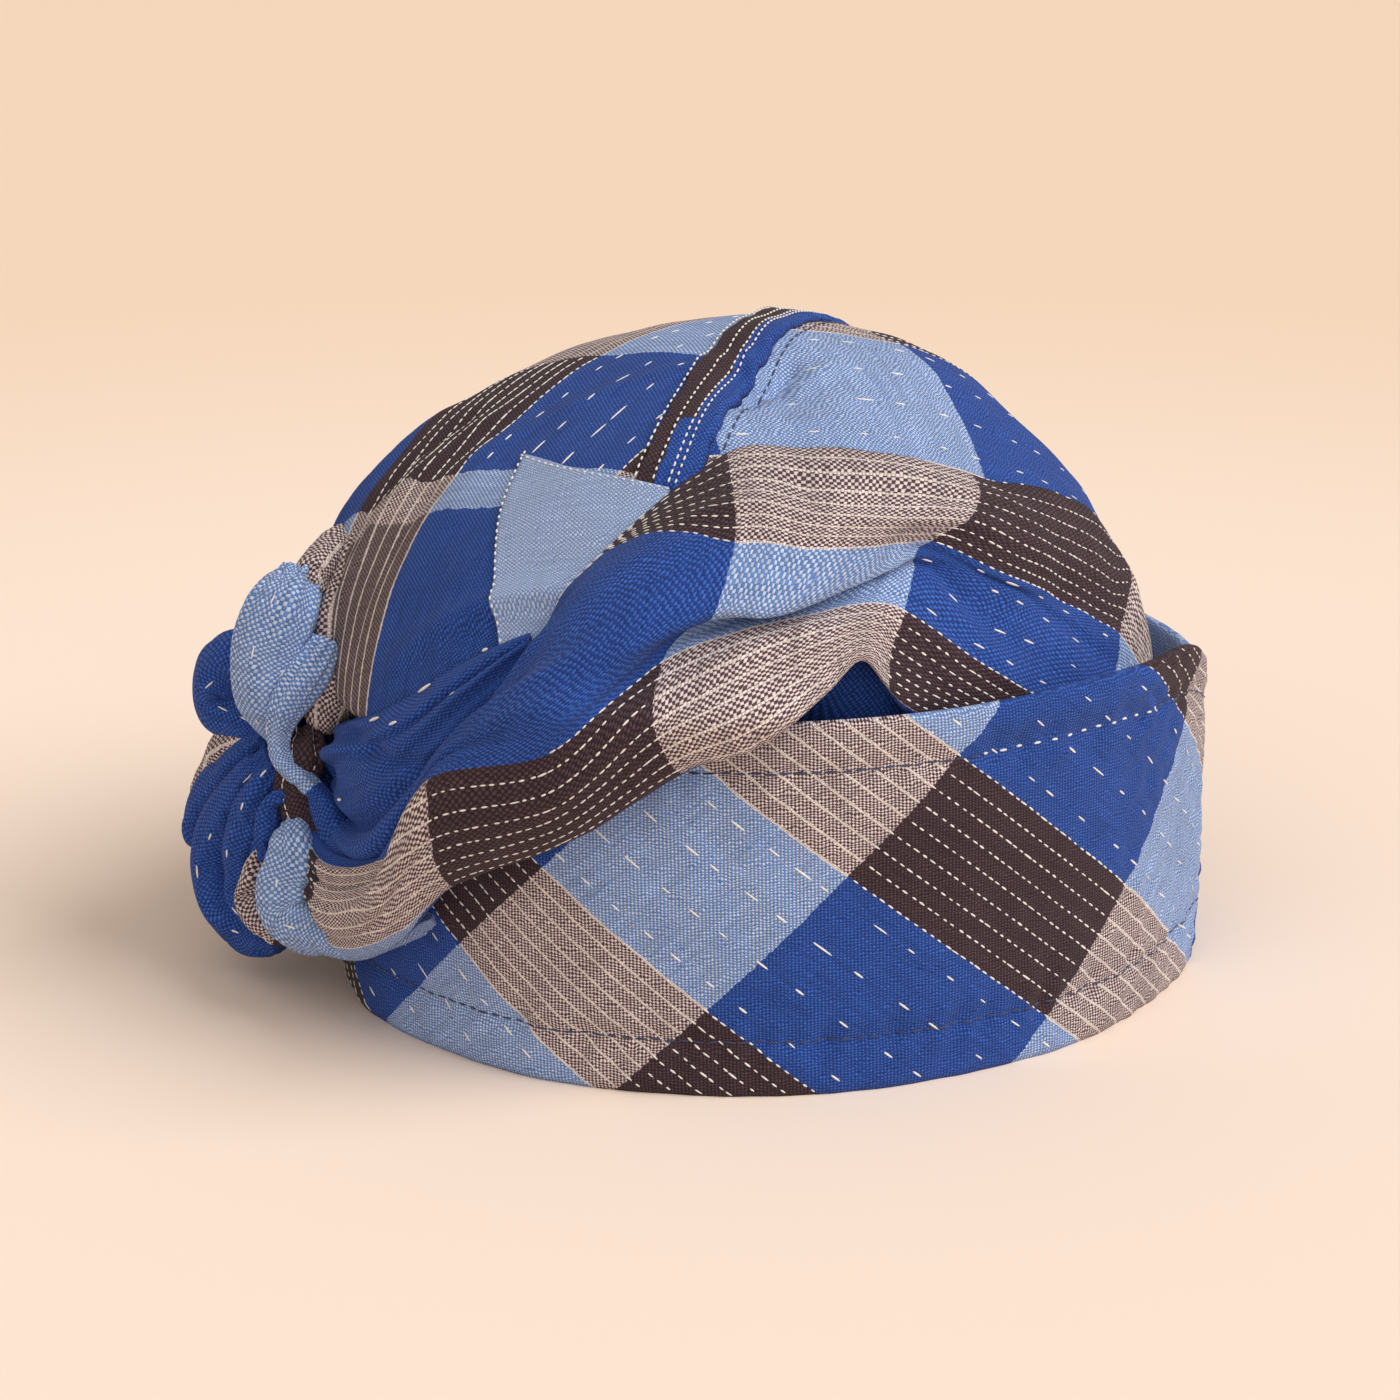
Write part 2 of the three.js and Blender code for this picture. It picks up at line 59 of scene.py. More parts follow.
BAND_FACE_ROWS = 68
HAT_HEART = (0, 0, 40)
# Where the rim is lower than the band's full height. It falls away between two turns from an angle.
RIM_DIPS = [
    {"angle": 0, "from": 105, "to": 150, "depth": 7.5},
    {"angle": 0, "from": 128, "to": 158, "depth": 10},
    {"angle": -3, "from": 40, "to": 14, "depth": 20},
]
LIP = {"angle": 140, "spread": 16, "height": 3.0}
HEM_INSET = 12
UPPER_HEM_INSET = 10.5
HEM_PROUD = 0.08
HEM_STITCH = {"stitch": 2.6, "gap": 0.5, "thickness": 0.5}
WHITE_HEM = {"from": 88, "to": 121}
WHITE_HEM_STITCH = {"stitch": 1.7, "gap": 2.6, "thickness": 0.6}
BAND_GRAIN = {"warp": (0.776, -0.631), "weft": (0.752, 0.659)}
BAND_CORNER = {"angle": 70, "height": 46}
# Where one stripe or weft band ends and the next starts, in millimetres from that corner.
BAND_STRIPES = ([-353, -323.5, -282.5, -253, -212, -182.5, -141.5, -112, -71, -41, 0, 33.5, 74.5, 104,
                 145, 174.5, 215.5, 245], range(-8, 10))
BAND_WEFTS = ([-353, -302, -251, -200, -149, -98, -47, -2.5, 59, 110, 161, 212, 263, 314], range(-5, 9))
WEFT_SLANT = 0.06


def smooth(x, start, end):
    """0 before start, 1 after end, and an even rise between."""
    t = np.clip((np.asarray(x, float) - start) / (end - start), 0, 1)
    return t * t * (3 - 2 * t)


def waves(x, y, length, seed, count=10):
    """Soft unevenness between about -1 and 1, with waves about `length` long."""
    draw = np.random.default_rng(seed)
    total = np.zeros(np.broadcast(x, y).shape)
    for _ in range(count):
        turn, start = draw.uniform(0, 2 * math.pi, 2)
        size = length * draw.uniform(0.7, 1.6)
        total += np.sin((x * math.cos(turn) + y * math.sin(turn)) * 2 * math.pi / size + start)
    return total / math.sqrt(count)


def around(angle, radius, height):
    """Points round the hat's middle axis, in millimetres. Angles start at the front."""
    turn = np.radians(angle)
    return np.stack(np.broadcast_arrays(radius * np.sin(turn), -radius * np.cos(turn), height), -1)


def turned(angle, start):
    return np.abs((angle - start + 180) % 360 - 180)


def band_radius(angle):
    turn = np.radians(angle)
    return 1 / np.hypot(np.sin(turn) / BAND_HALF_WIDTH, np.cos(turn) / BAND_HALF_LENGTH)


def rim_height(angle):
    height = BAND_HEIGHT + LIP["height"] * np.exp(-(turned(angle, LIP["angle"]) / LIP["spread"]) ** 2)
    for dip in RIM_DIPS:
        height = height - dip["depth"] * smooth(turned(angle, dip["angle"]), dip["from"], dip["to"])
    return height


def arc_table():
    """Length along the band's outside, from the front, for a run of angles."""
    angles = np.linspace(-180, 180, 721)
    steps = np.linalg.norm(np.diff(around(angles, band_radius(angles), 0), axis=0), axis=1)
    lengths = np.concatenate([[0], np.cumsum(steps)])
    return angles, lengths - lengths[360]


def band_cloth(angle, height):
    """Plaid and thread coordinates of a point on the band."""
    ahead = np.interp(angle, *arc_table()) - np.interp(BAND_CORNER["angle"], *arc_table())
    up = height - BAND_CORNER["height"]
    grain = np.linalg.inv(np.array([BAND_GRAIN["warp"], BAND_GRAIN["weft"]]).T)
    along = grain[0, 0] * ahead + grain[0, 1] * up
    across = grain[1, 0] * ahead + grain[1, 1] * up
    weft = np.interp(along + WEFT_SLANT * across, *BAND_WEFTS)
    return np.stack([np.interp(across, *BAND_STRIPES), weft], -1), np.stack([across, along], -1)


def band_relief(angle, height):
    """How far the outer cloth stands off the band's plain wall."""
    ahead = np.interp(angle, *arc_table())
    rim = rim_height(angle)
    relief = 0.35 * waves(ahead, height, 45, 3) + 0.12 * waves(ahead, height, 11, 4)
    relief += 0.3 * smooth(turned(angle, 132), 26, 12) * waves(ahead, height, 6, 6)
    relief += 0.9 * np.exp(-((height - rim + 4) / 3.5) ** 2) * smooth(turned(angle, 108), 34, 20)
    for line in (HEM_INSET + 0 * rim, rim - UPPER_HEM_INSET):
        near = np.exp(-((height - line) / 2.2) ** 2)
        pucker = np.exp(-((height - line) / 7) ** 2)
        relief += -0.7 * near + 0.4 * pucker * waves(ahead, height * 0.35, 8, 5)
    return relief


def hem_line(angles, upper):
    """A hem's line on the band, a little proud of the cloth."""
    angles = (angles + 180) % 360 - 180
    height = rim_height(angles) - UPPER_HEM_INSET if upper else HEM_INSET + 0 * angles
    return around(angles, band_radius(angles) + band_relief(angles, height) + HEM_PROUD, height)


def quad_faces(rows, columns, joined_rows=False, joined_columns=False):
    """Four-cornered faces of a grid of points, whose last row or column may be joined to its first."""
    row = np.arange(rows if joined_rows else rows - 1)[:, None]
    column = np.arange(columns if joined_columns else columns - 1)[None, :]
    next_row = (row + 1) % rows
    next_column = (column + 1) % columns
    corners = [row * columns + column, row * columns + next_column,
               next_row * columns + next_column, next_row * columns + column]
    return np.stack(corners, -1).reshape(-1, 4)


def looks_out(points, faces, middle=(0, 0, 0)):
    """Whether faces, taken together, look away from a point."""
    corners = points[faces]
    normal = np.cross(corners[:, 2] - corners[:, 0], corners[:, 3] - corners[:, 1])
    return np.einsum("ij,ij->", corners.mean(1) - middle, normal) > 0


def outward(points, faces, middle=(0, 0, 0)):
    """The same faces, turned round if they look towards that point."""
    return faces if looks_out(points, faces, middle) else faces[:, ::-1]


def ring_corners(values, faces, count):
    """A pair of numbers for each corner of a ring's faces, from a grid of them. The grid has one
    column more than the ring, for the ring's own seam."""
    column = faces % count
    seam = (column == count - 1).any(1) & (column == 0).any(1)
    return values[faces // count, np.where(seam[:, None] & (column == 0), count, column)].reshape(-1, 2)


def put(name, data):
    """An object of the scene."""
    made = bpy.data.objects.new(name, data)
    bpy.context.scene.collection.objects.link(made)
    return made


def placed(points):
    """Points from millimetres round the hat's middle axis to metres in the scene."""
    return points * MM + np.array([HAT_CENTRE.x, HAT_CENTRE.y, 0])


def make_mesh(name, points, faces, plaid, thread):
    """An object from points in millimetres. plaid and thread hold a pair of numbers for each point,
    or for each corner of each face."""
    mesh = bpy.data.meshes.new(name)
    mesh.from_pydata(placed(points).tolist(), [], faces if isinstance(faces, list) else faces.tolist())
    for layer, values in (("plaid", plaid), ("thread", thread)):
        if len(values) == len(points):
            values = values[faces]
        uv = mesh.uv_layers.new(name=layer)
        uv.data.foreach_set("uv", np.asarray(values, np.float32).ravel())
    mesh.shade_smooth()
    return put(name, mesh)


def make_band():
    """The band, and its outer face alone, to set dashes on."""
    angles = np.linspace(-180, 180, BAND_COLUMNS + 1)
    corner = BAND_WALL / 2
    top = rim_height(angles) - corner
    rows = []
    for height in (share * top for share in np.linspace(0, 1, 64)):
        rows.append((band_relief(angles, height) - 0.8 * np.exp(-height ** 2), height))
    for turn in np.radians(np.linspace(0, 180, 9)[1:-1]):
        inward = corner - corner * math.cos(turn)
        fade = math.cos(turn / 2) ** 2
        rows.append((band_relief(angles, top) * fade - inward, top + corner * math.sin(turn)))
    for height in (share * top for share in np.linspace(1, 0, 24)):
        rows.append((-BAND_WALL + 0.15 * waves(angles, height, 30, 6), height))
    points = np.stack([around(angles, band_radius(angles) + out, height) for out, height in rows])[:, :-1]
    cloth = [np.stack(layer) for layer in zip(*[band_cloth(angles, height) for out, height in rows])]
    flat = points.reshape(-1, 3)
    faces = outward(flat, quad_faces(len(rows), BAND_COLUMNS, True, True))
    band = make_mesh("head_band", flat, faces, *[ring_corners(v, faces, BAND_COLUMNS) for v in cloth])
    outer = points[:BAND_FACE_ROWS].reshape(-1, 3)
    face = make_mesh("band_face", outer,
                     outward(outer, quad_faces(BAND_FACE_ROWS, BAND_COLUMNS), HAT_HEART),
                     *[v[:BAND_FACE_ROWS, :-1].reshape(-1, 2) for v in cloth])
    return band, face


# Colours of the threads where a warp stripe and a weft band cross: the warp's and the weft's.
PLAID = {
    "brown_dark": ((0.085, 0.050, 0.060, 1), (0.030, 0.018, 0.027, 1)),
    "brown_white": ((0.080, 0.046, 0.056, 1), (0.700, 0.595, 0.605, 1)),
    "blue_dark": ((0.040, 0.120, 0.480, 1), (0.015, 0.045, 0.240, 1)),
    "blue_white": ((0.115, 0.235, 0.560, 1), (0.480, 0.590, 0.840, 1)),
}
CREAM = (0.86, 0.78, 0.74, 1)
FADED = (0.42, 0.50, 0.68, 1)
LINES_PER_STRIPE = 8
LINE_HALF_WIDTH = 0.065
SOCKETS = {float: "Float", int: "Int"}


class Wire:
    """One output of a node, so that sums of nodes can be written as sums."""

    def __init__(self, node, output=0):
        self.tree = node.id_data
        self.socket = node.outputs[output]

    def math(self, operation, *others):
        inputs = dict(enumerate((self, *others)))
        return Wire(add_node(self.tree, "ShaderNodeMath", inputs, operation=operation))

    __add__ = partialmethod(math, "ADD")
    __sub__ = partialmethod(math, "SUBTRACT")
    __mul__ = partialmethod(math, "MULTIPLY")
    __truediv__ = partialmethod(math, "DIVIDE")
    __mod__ = partialmethod(math, "FLOORED_MODULO")
    below = partialmethod(math, "LESS_THAN")
    above = partialmethod(math, "GREATER_THAN")
    floor = partialmethod(math, "FLOOR")
    sine = partialmethod(math, "SINE")
    size = partialmethod(math, "ABSOLUTE")
    power = partialmethod(math, "POWER")
    most = partialmethod(math, "MAXIMUM")


def feed(slot, value):
    """Gives a socket a value, or links it from a wire, or from a node's first output."""
    if isinstance(value, bpy.types.Node):
        value = Wire(value)
    if isinstance(value, Wire):
        slot.id_data.links.new(value.socket, slot)
    else:
        slot.default_value = value


def add_node(tree, kind, inputs=(), **settings):
    """A node with its settings, and its inputs given by name or number."""
    node = tree.nodes.new(kind)
    for name, value in settings.items():
        setattr(node, name, value)
    for key, value in dict(inputs).items():
        feed(node.inputs[key], value)
    return node


def new_group(name, kind, inputs, outputs):
    """A node group with named sockets, each given by its kind or its first value, wires from its
    inputs, and the node that its outputs are fed to."""
    tree = bpy.data.node_groups.new(name, kind)
    for direction, sockets in (("INPUT", inputs), ("OUTPUT", outputs)):
        for label, value in sockets.items():
            socket = "NodeSocket" + SOCKETS.get(type(value), str(value))
            made = tree.interface.new_socket(label, in_out=direction, socket_type=socket)
            if type(value) in SOCKETS:
                made.default_value = value
    start = tree.nodes.new("NodeGroupInput")
    return tree, {label: Wire(start, label) for label in inputs}, tree.nodes.new("NodeGroupOutput")


def pick_colour(tree, share, first, second, **settings):
    """first where share is 0, second where it is 1."""
    return Wire(add_node(tree, "ShaderNodeMix", {0: share, 6: first, 7: second}, data_type="RGBA",
                         **settings), 2)


def noise(tree, place, scale, detail):
    return Wire(add_node(tree, "ShaderNodeTexNoise", {"Vector": place, "Scale": scale, "Detail": detail}))


def weave_group():
    """Plain weave: which thread lies on top, how it rounds, and its tone with painted shade between
    threads.
    """
    tree, given, end = new_group(
        "Plain weave", "ShaderNodeTree",
        {"Across": 0.0, "Along": 0.0, "Thread": 0.5, "Uneven": 0.5},
        {"Weft on top": "Float", "Height": "Float", "Tone and painted shade": "Float"})
    place = add_node(tree, "ShaderNodeCombineXYZ", {0: given["Across"], 1: given["Along"]})
    shift = (noise(tree, place, 0.35, 2.0) - 0.5) * 1.4
    warp = (given["Across"] + shift) / given["Thread"]
    weft = (given["Along"] - shift) / given["Thread"]
    over = (warp.floor() + weft.floor()) % 2.0
    height = (((warp % 1.0) * math.pi).sine() * ((weft % 1.0) * math.pi).sine()).power(0.6)
    shades = []
    for thread, other in ((warp, weft), (weft, warp)):
        spot = add_node(tree, "ShaderNodeCombineXYZ", {0: thread.floor(), 1: other * 0.02})
        shades.append((noise(tree, spot, 1.7, 1.0) - 0.5) * given["Uneven"] * 2.0 + 1.0)
    # Painted shade: each thread's uneven tone is darker where it rounds down into the gaps between threads
    # and lightest on its crest.
    tone_and_painted_shade = (shades[0] + (shades[1] - shades[0]) * over) * (height * 0.45 + 0.62)
    feed(end.inputs["Weft on top"], over)
    feed(end.inputs["Height"], height)
    feed(end.inputs["Tone and painted shade"], tone_and_painted_shade)
    return tree


def plaid_group(weave):
    """Plaid colour with painted shade between threads, and thread relief, from plaid and thread
    coordinates.
    """
    tree, given, end = new_group(
        "Plaid", "ShaderNodeTree",
        {"Stripe": 0.0, "Weft band": 0.0, "Across": 0.0, "Along": 0.0, "Thread": 0.5, "Uneven": 0.5,
         "Fade": 0.0, "Whole lines below": -100.0},
        {"Colour": "Color", "Height": "Float"})
    threads = add_node(tree, "ShaderNodeGroup",
                       {label: given[label] for label in ("Across", "Along", "Thread", "Uneven")},
                       node_tree=weave)
    place = add_node(tree, "ShaderNodeCombineXYZ", {0: given["Across"], 1: given["Along"]})
    wobble = (noise(tree, place, 0.9, 1.0) - 0.5) * 0.016
    stripe_at = (given["Stripe"] + wobble) % 2.0
    white = ((given["Weft band"] + wobble) % 2.0).above(1.0)
    whole = given["Weft band"].below(given["Whole lines below"])
    tweed = white.most(whole * 0.3)
    pair = []
    for which in (0, 1):
        brown = pick_colour(tree, tweed, PLAID["brown_dark"][which], PLAID["brown_white"][which])
        blue = pick_colour(tree, white, PLAID["blue_dark"][which], PLAID["blue_white"][which])
        pair.append(pick_colour(tree, stripe_at.above(1.0), brown, blue))
    ground = pick_colour(tree, Wire(threads, "Weft on top"), *pair)
    # Cream warp lines, whole over the white weft. Over the dark weft they are running dashes.
    near = (stripe_at * LINES_PER_STRIPE + 0.5) % 1.0 - 0.5
    inside = stripe_at.below(1.06) + stripe_at.above(1.94)
    line = near.size().below(LINE_HALF_WIDTH) * inside.math("MINIMUM", 1.0) * white.most(whole)
    twist = ((given["Along"] / given["Thread"]) * math.pi).sine().size()
    coloured = pick_colour(tree, line * (twist * 0.35 + 0.6), ground, CREAM)
    # The thread tone carries painted shade in the gaps between threads; worn adds a broad random unevenness
    # of tone.
    worn = (noise(tree, place, 0.045, 3.0) - 0.5) * 0.35 + 1.0
    grey_tone_and_painted_shade = Wire(threads, "Tone and painted shade") * worn
    tone_and_painted_shade = add_node(tree, "ShaderNodeCombineColor", {0: grey_tone_and_painted_shade, 1: grey_tone_and_painted_shade, 2: grey_tone_and_painted_shade})
    shaded = pick_colour(tree, 1.0, coloured, tone_and_painted_shade, blend_type="MULTIPLY")
    feed(end.inputs["Colour"], pick_colour(tree, given["Fade"], shaded, FADED))
    feed(end.inputs["Height"], Wire(threads, "Height") + line * twist * 0.8)
    return tree


PLAID_CLOTH = plaid_group(weave_group())


def new_material(name, roughness, sheen, specular=0.5):
    """A material, its node tree and its shader."""
    material = bpy.data.materials.new(name)
    material.use_nodes = True
    shader = material.node_tree.nodes["Principled BSDF"]
    shader.inputs["Roughness"].default_value = roughness
    shader.inputs["Sheen Weight"].default_value = sheen
    shader.inputs["Specular IOR Level"].default_value = specular
    return material, material.node_tree, shader


def cloth_material(name, fade=0.0, thread=0.5, whole_lines_below=-100.0):
    """The plaid, on the piece's own plaid and thread coordinates."""
    material, tree, shader = new_material(name, 0.88, 0.05, 0.15)
    plaid = add_node(tree, "ShaderNodeGroup", node_tree=PLAID_CLOTH)
    for layer, labels in (("plaid", ("Stripe", "Weft band")), ("thread", ("Across", "Along"))):
        uv = add_node(tree, "ShaderNodeUVMap", uv_map=layer)
        parts = add_node(tree, "ShaderNodeSeparateXYZ", {0: uv})
        for index, label in enumerate(labels):
            feed(plaid.inputs[label], Wire(parts, index))
    plaid.inputs["Thread"].default_value = thread
    plaid.inputs["Fade"].default_value = fade
    plaid.inputs["Whole lines below"].default_value = whole_lines_below
    bump = add_node(tree, "ShaderNodeBump",
                    {"Strength": 0.6, "Distance": 0.00022, "Height": Wire(plaid, "Height")})
    feed(shader.inputs["Base Color"], plaid)
    feed(shader.inputs["Normal"], bump)
    return material


def thread_material(name, colour):
    """Twisted cotton thread."""
    material, tree, shader = new_material(name, 0.7, 0.3)
    grain = noise(tree, Wire(add_node(tree, "ShaderNodeTexCoord"), "Object"), 900.0, 2.0)
    darker = [0.72 * part for part in colour]
    feed(shader.inputs["Base Color"], pick_colour(tree, grain, (*darker, 1.0), (*colour, 1.0)))
    return material


WHITE_THREAD = thread_material("white_thread", (0.92, 0.89, 0.86))
NAVY_THREAD = thread_material("navy_thread", (0.022, 0.035, 0.12))


def lay_threads(tree, given, end, inputs):
    """A short round length of thread on each point, turned and sized, in its material."""
    ball = add_node(tree, "GeometryNodeMeshUVSphere", {"Segments": 6, "Rings": 4, "Radius": 0.5})
    lying = add_node(tree, "GeometryNodeTransform", {"Geometry": ball, "Rotation": (0.0, math.pi / 2, 0.0)})
    copies = add_node(tree, "GeometryNodeInstanceOnPoints", {"Instance": lying, **inputs})
    real = add_node(tree, "GeometryNodeRealizeInstances", {0: copies})
    painted = add_node(tree, "GeometryNodeSetMaterial", {"Geometry": real, "Material": given["Material"]})
    feed(end.inputs["Geometry"], painted)
    return tree


def dashes_tree():
    """Short floats of white warp, in rows along the stripes. The rows are laid out on the plaid
    coordinates and then set on the cloth."""
    tree, given, end = new_group(
        "Woven dashes", "GeometryNodeTree",
        {"Geometry": "Geometry", "Rows from": 0.0, "Row step": 0.125, "Row count": 10, "Start": 0.0,
         "Pitch": 0.04, "Dash count": 10, "Stripe from": 0.0, "Stripe to": 1.0, "White weft too": 0.0,
         "Weft from": -100.0, "Stagger": 0.0, "Jitter": 0.1, "Length": 0.0014, "Width": 0.0005,
         "Seed": 1, "Material": "Material"},
        {"Geometry": "Geometry"})
    index = Wire(add_node(tree, "GeometryNodeInputIndex"))
    row = (index / given["Dash count"]).floor()
    step = index - row * given["Dash count"]

    def chance(low, high, seed):
        inputs = {2: low, 3: high, "Seed": given["Seed"] + seed}
        return Wire(add_node(tree, "FunctionNodeRandomValue", inputs, data_type="FLOAT"), 1)

    across = given["Rows from"] + row * given["Row step"] + chance(-0.3, 0.3, 5.0) * given["Jitter"] * 0.02
    stagger = (row % 2.0) * given["Stagger"]
    along = given["Start"] + (step + stagger + chance(-1.0, 1.0, 0.0) * given["Jitter"]) * given["Pitch"]
    in_stripe = (across % 2.0).above(given["Stripe from"]) * (across % 2.0).below(given["Stripe to"])
    wrapped = (across % 2.0).above(given["Stripe from"] + 2.0)
    in_weft = (along % 2.0).below(1.0).most(given["White weft too"])
    wanted = in_stripe.most(wrapped) * in_weft * along.above(given["Weft from"])
    uv = add_node(tree, "GeometryNodeInputNamedAttribute", {"Name": "plaid"}, data_type="FLOAT_VECTOR")

    def sample(kind, shift):
        """The cloth's position or normal at a dash, or a little further along."""
        spot = add_node(tree, "ShaderNodeCombineXYZ", {0: across, 1: along + shift})
        return add_node(tree, "GeometryNodeSampleUVSurface",
                        {"Mesh": given["Geometry"], "Value": add_node(tree, kind), "Source UV Map": uv,
                         "Sample UV": spot}, data_type="FLOAT_VECTOR")

    here = sample("GeometryNodeInputPosition", 0.0)
    ahead = sample("GeometryNodeInputPosition", 0.02)
    facing = sample("GeometryNodeInputNormal", 0.0)
    direction = add_node(tree, "ShaderNodeVectorMath", {0: ahead, 1: here}, operation="SUBTRACT")
    lie = add_node(tree, "FunctionNodeAlignRotationToVector", {"Vector": direction}, axis="X")
    stand = add_node(tree, "FunctionNodeAlignRotationToVector", {"Rotation": lie, "Vector": facing},
                     axis="Z", pivot_axis="X")
    slub = chance(0.0, 1.0, 3.0).power(9.0)
    length = given["Length"] * (chance(0.75, 1.2, 1.0) + slub)
    width = given["Width"] * chance(0.8, 1.2, 2.0)
    size = add_node(tree, "ShaderNodeCombineXYZ", {0: length, 1: width, 2: given["Width"] * 0.7})
    points = add_node(tree, "GeometryNodePoints",
                      {"Count": given["Row count"] * given["Dash count"], "Position": here})
    found = Wire(here, "Is Valid") * Wire(ahead, "Is Valid") * wanted
    return lay_threads(tree, given, end,
                       {"Points": points, "Selection": found, "Rotation": stand, "Scale": size})


def stitch_tree():
    """Running stitches along a curve: short round lengths of thread that dip into the cloth."""
    tree, given, end = new_group(
        "Running stitches", "GeometryNodeTree",
        {"Geometry": "Geometry", "Stitch": 0.003, "Gap": 0.001, "Thickness": 0.0005, "Seed": 1,
         "Material": "Material"},
        {"Geometry": "Geometry"})
    spaced = add_node(tree, "GeometryNodeCurveToPoints",
                      {"Curve": given["Geometry"], "Length": given["Stitch"] + given["Gap"]}, mode="LENGTH")
    lie = add_node(tree, "FunctionNodeAlignRotationToVector", {"Vector": Wire(spaced, "Tangent")}, axis="X")
    chance = add_node(tree, "FunctionNodeRandomValue", {2: 0.8, 3: 1.15, "Seed": given["Seed"]},
                      data_type="FLOAT")
    size = add_node(tree, "ShaderNodeCombineXYZ",
                    {0: given["Stitch"] * Wire(chance, 1), 1: given["Thickness"], 2: given["Thickness"]})
    return lay_threads(tree, given, end, {"Points": spaced, "Rotation": lie, "Scale": size})


DASHES = dashes_tree()
STITCHES = stitch_tree()


def grow(name, base, tree, inputs):
    """Runs a Geometry Nodes tree on an object and returns what it makes as a plain mesh piece."""
    modifier = base.modifiers.new("grow", "NODES")
    modifier.node_group = tree
    sockets = {item.name: item.identifier for item in tree.interface.items_tree
               if item.item_type == "SOCKET" and item.in_out == "INPUT"}
    for label, value in inputs.items():
        modifier[sockets[label]] = value
    mesh = bpy.data.meshes.new_from_object(base.evaluated_get(bpy.context.evaluated_depsgraph_get()))
    base.modifiers.remove(modifier)
    mesh.name = name
    mesh.shade_smooth()
    return put(name, mesh)


def join(name, pieces):
    """One object from several."""
    with bpy.context.temp_override(active_object=pieces[0], selected_editable_objects=pieces,
                                   object=pieces[0], selected_objects=pieces):
        bpy.ops.object.join()
    pieces[0].name = name
    pieces[0].data.name = name
    return pieces[0]


# The rows of dashes: eight to a brown stripe, close together, over the dark weft alone, and four to
# a blue stripe, longer and further apart, over both wefts.
BROWN_DASHES = {"Row step": 1 / LINES_PER_STRIPE, "Pitch": 1 / 26, "Stripe from": -0.06,
                "Stripe to": 1.06, "White weft too": 0.0, "Stagger": 0.0, "Jitter": 0.12,
                "Length": 0.0014, "Width": 0.00044}
BLUE_DASHES = {"Row step": 0.25, "Pitch": 1 / 5.5, "Stripe from": 1.1, "Stripe to": 1.95,
               "White weft too": 1.0, "Stagger": 0.5, "Jitter": 0.22, "Length": 0.0027,
               "Width": 0.00048}


def weave_dashes(name, base, seed, brown_from=-100.0, blue_from=-100.0):
    """All the dashes of one cloth, from a weft band on. base is its outer face alone, and is used up."""
    uv = np.zeros(len(base.data.loops) * 2, np.float32)
    base.data.uv_layers["plaid"].data.foreach_get("uv", uv)
    low, high = np.floor(uv.reshape(-1, 2).min(0)), np.ceil(uv.reshape(-1, 2).max(0))
    parts = []
    for number, (kind, start) in enumerate(((BROWN_DASHES, brown_from), (BLUE_DASHES, blue_from))):
        made = grow(f"{name}_{number}", base, DASHES, {
            **kind, "Rows from": float(low[0]) + number * kind["Row step"] / 2, "Start": float(low[1]),
            "Weft from": start, "Row count": int((high[0] - low[0]) / kind["Row step"]) + 1,
            "Dash count": int((high[1] - low[1]) / kind["Pitch"]) + 1, "Seed": seed + 10 * number,
            "Material": WHITE_THREAD})
        if len(made.data.polygons):
            parts.append(made)
    bpy.data.objects.remove(base)
    return join(name, parts)


def stitch_row(name, points, thread, stitch, gap, thickness, seed=1, closed=False):
    """A row of running stitches along points given in millimetres."""
    curve = bpy.data.curves.new(name + "_line", "CURVE")
    curve.dimensions = "3D"
    line = curve.splines.new("POLY")
    line.points.add(len(points) - 1)
    line.points.foreach_set("co", np.column_stack([placed(points), np.ones(len(points))]).ravel())
    line.use_cyclic_u = closed
    base = put(name + "_line", curve)
    row = grow(name, base, STITCHES, {"Stitch": stitch * MM, "Gap": gap * MM,
                                      "Thickness": thickness * MM, "Seed": seed, "Material": thread})
    bpy.data.objects.remove(base)
    return row


def ride(piece, slot, *nodes):
    """Every piece of the hat rides on its one body."""
    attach(piece, "root")
    if nodes:
        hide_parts(*nodes)


band, band_face = make_band()
band.data.materials.append(cloth_material("band_plaid"))
band_dashes = weave_dashes("band_dashes", band_face, 11)
lower_hem = hem_line(np.linspace(-180, 180, 721)[:-1], False)
upper_hem = hem_line(np.linspace(WHITE_HEM["to"], WHITE_HEM["from"] + 360, 660), True)
white_hem = hem_line(np.linspace(WHITE_HEM["from"], WHITE_HEM["to"], 80), True)
band_hems = join("band_hem_stitches", [
    stitch_row("hem_lower", lower_hem, NAVY_THREAD, **HEM_STITCH, seed=21, closed=True),
    stitch_row("hem_upper", upper_hem, NAVY_THREAD, **HEM_STITCH, seed=22)])
band_dashes = join("band_dashes", [
    band_dashes, stitch_row("hem_white", white_hem, WHITE_THREAD, **WHITE_HEM_STITCH, seed=23)])
ride(band, "band_cloth", "band")
ride(band_dashes, "band_cloth")
ride(band_hems, "band_cloth")

# ---- crown -----------------------------------------------------------------------------------------
# The crown is two panels of the plaid joined by a seam over the top, left soft and unlined, so that it
# leans to the front and holds a dent. Its lower edge is sewn inside the band.
BROWN_STRIPE = 29
BLUE_STRIPE = 41
DOME_RADIUS = 95
CENTRE_HEIGHT = 55
CROWN_INSET = 4.5
CROWN_LEAN_ANGLE = -30
CROWN_FULLER = 6.5
CROWN_SLACKER = 9
CROWN_RISE = 86
CROWN_WALL = 2
CROWN_TUCK = 1
CROWN_HEM_HEIGHT = 46
CROWN_CLEAR = 2.5
CROWN_SIDE_BELOW = 35
# Hollows, and a bulge where depth is below 0: angle, rise, spread and depth.
DENTS = [(57, 71, 8, 5.0), (-34, 20, 21, -6.0), (2, 52, 14, 1.5), (122, 52, 14, 1.5)]
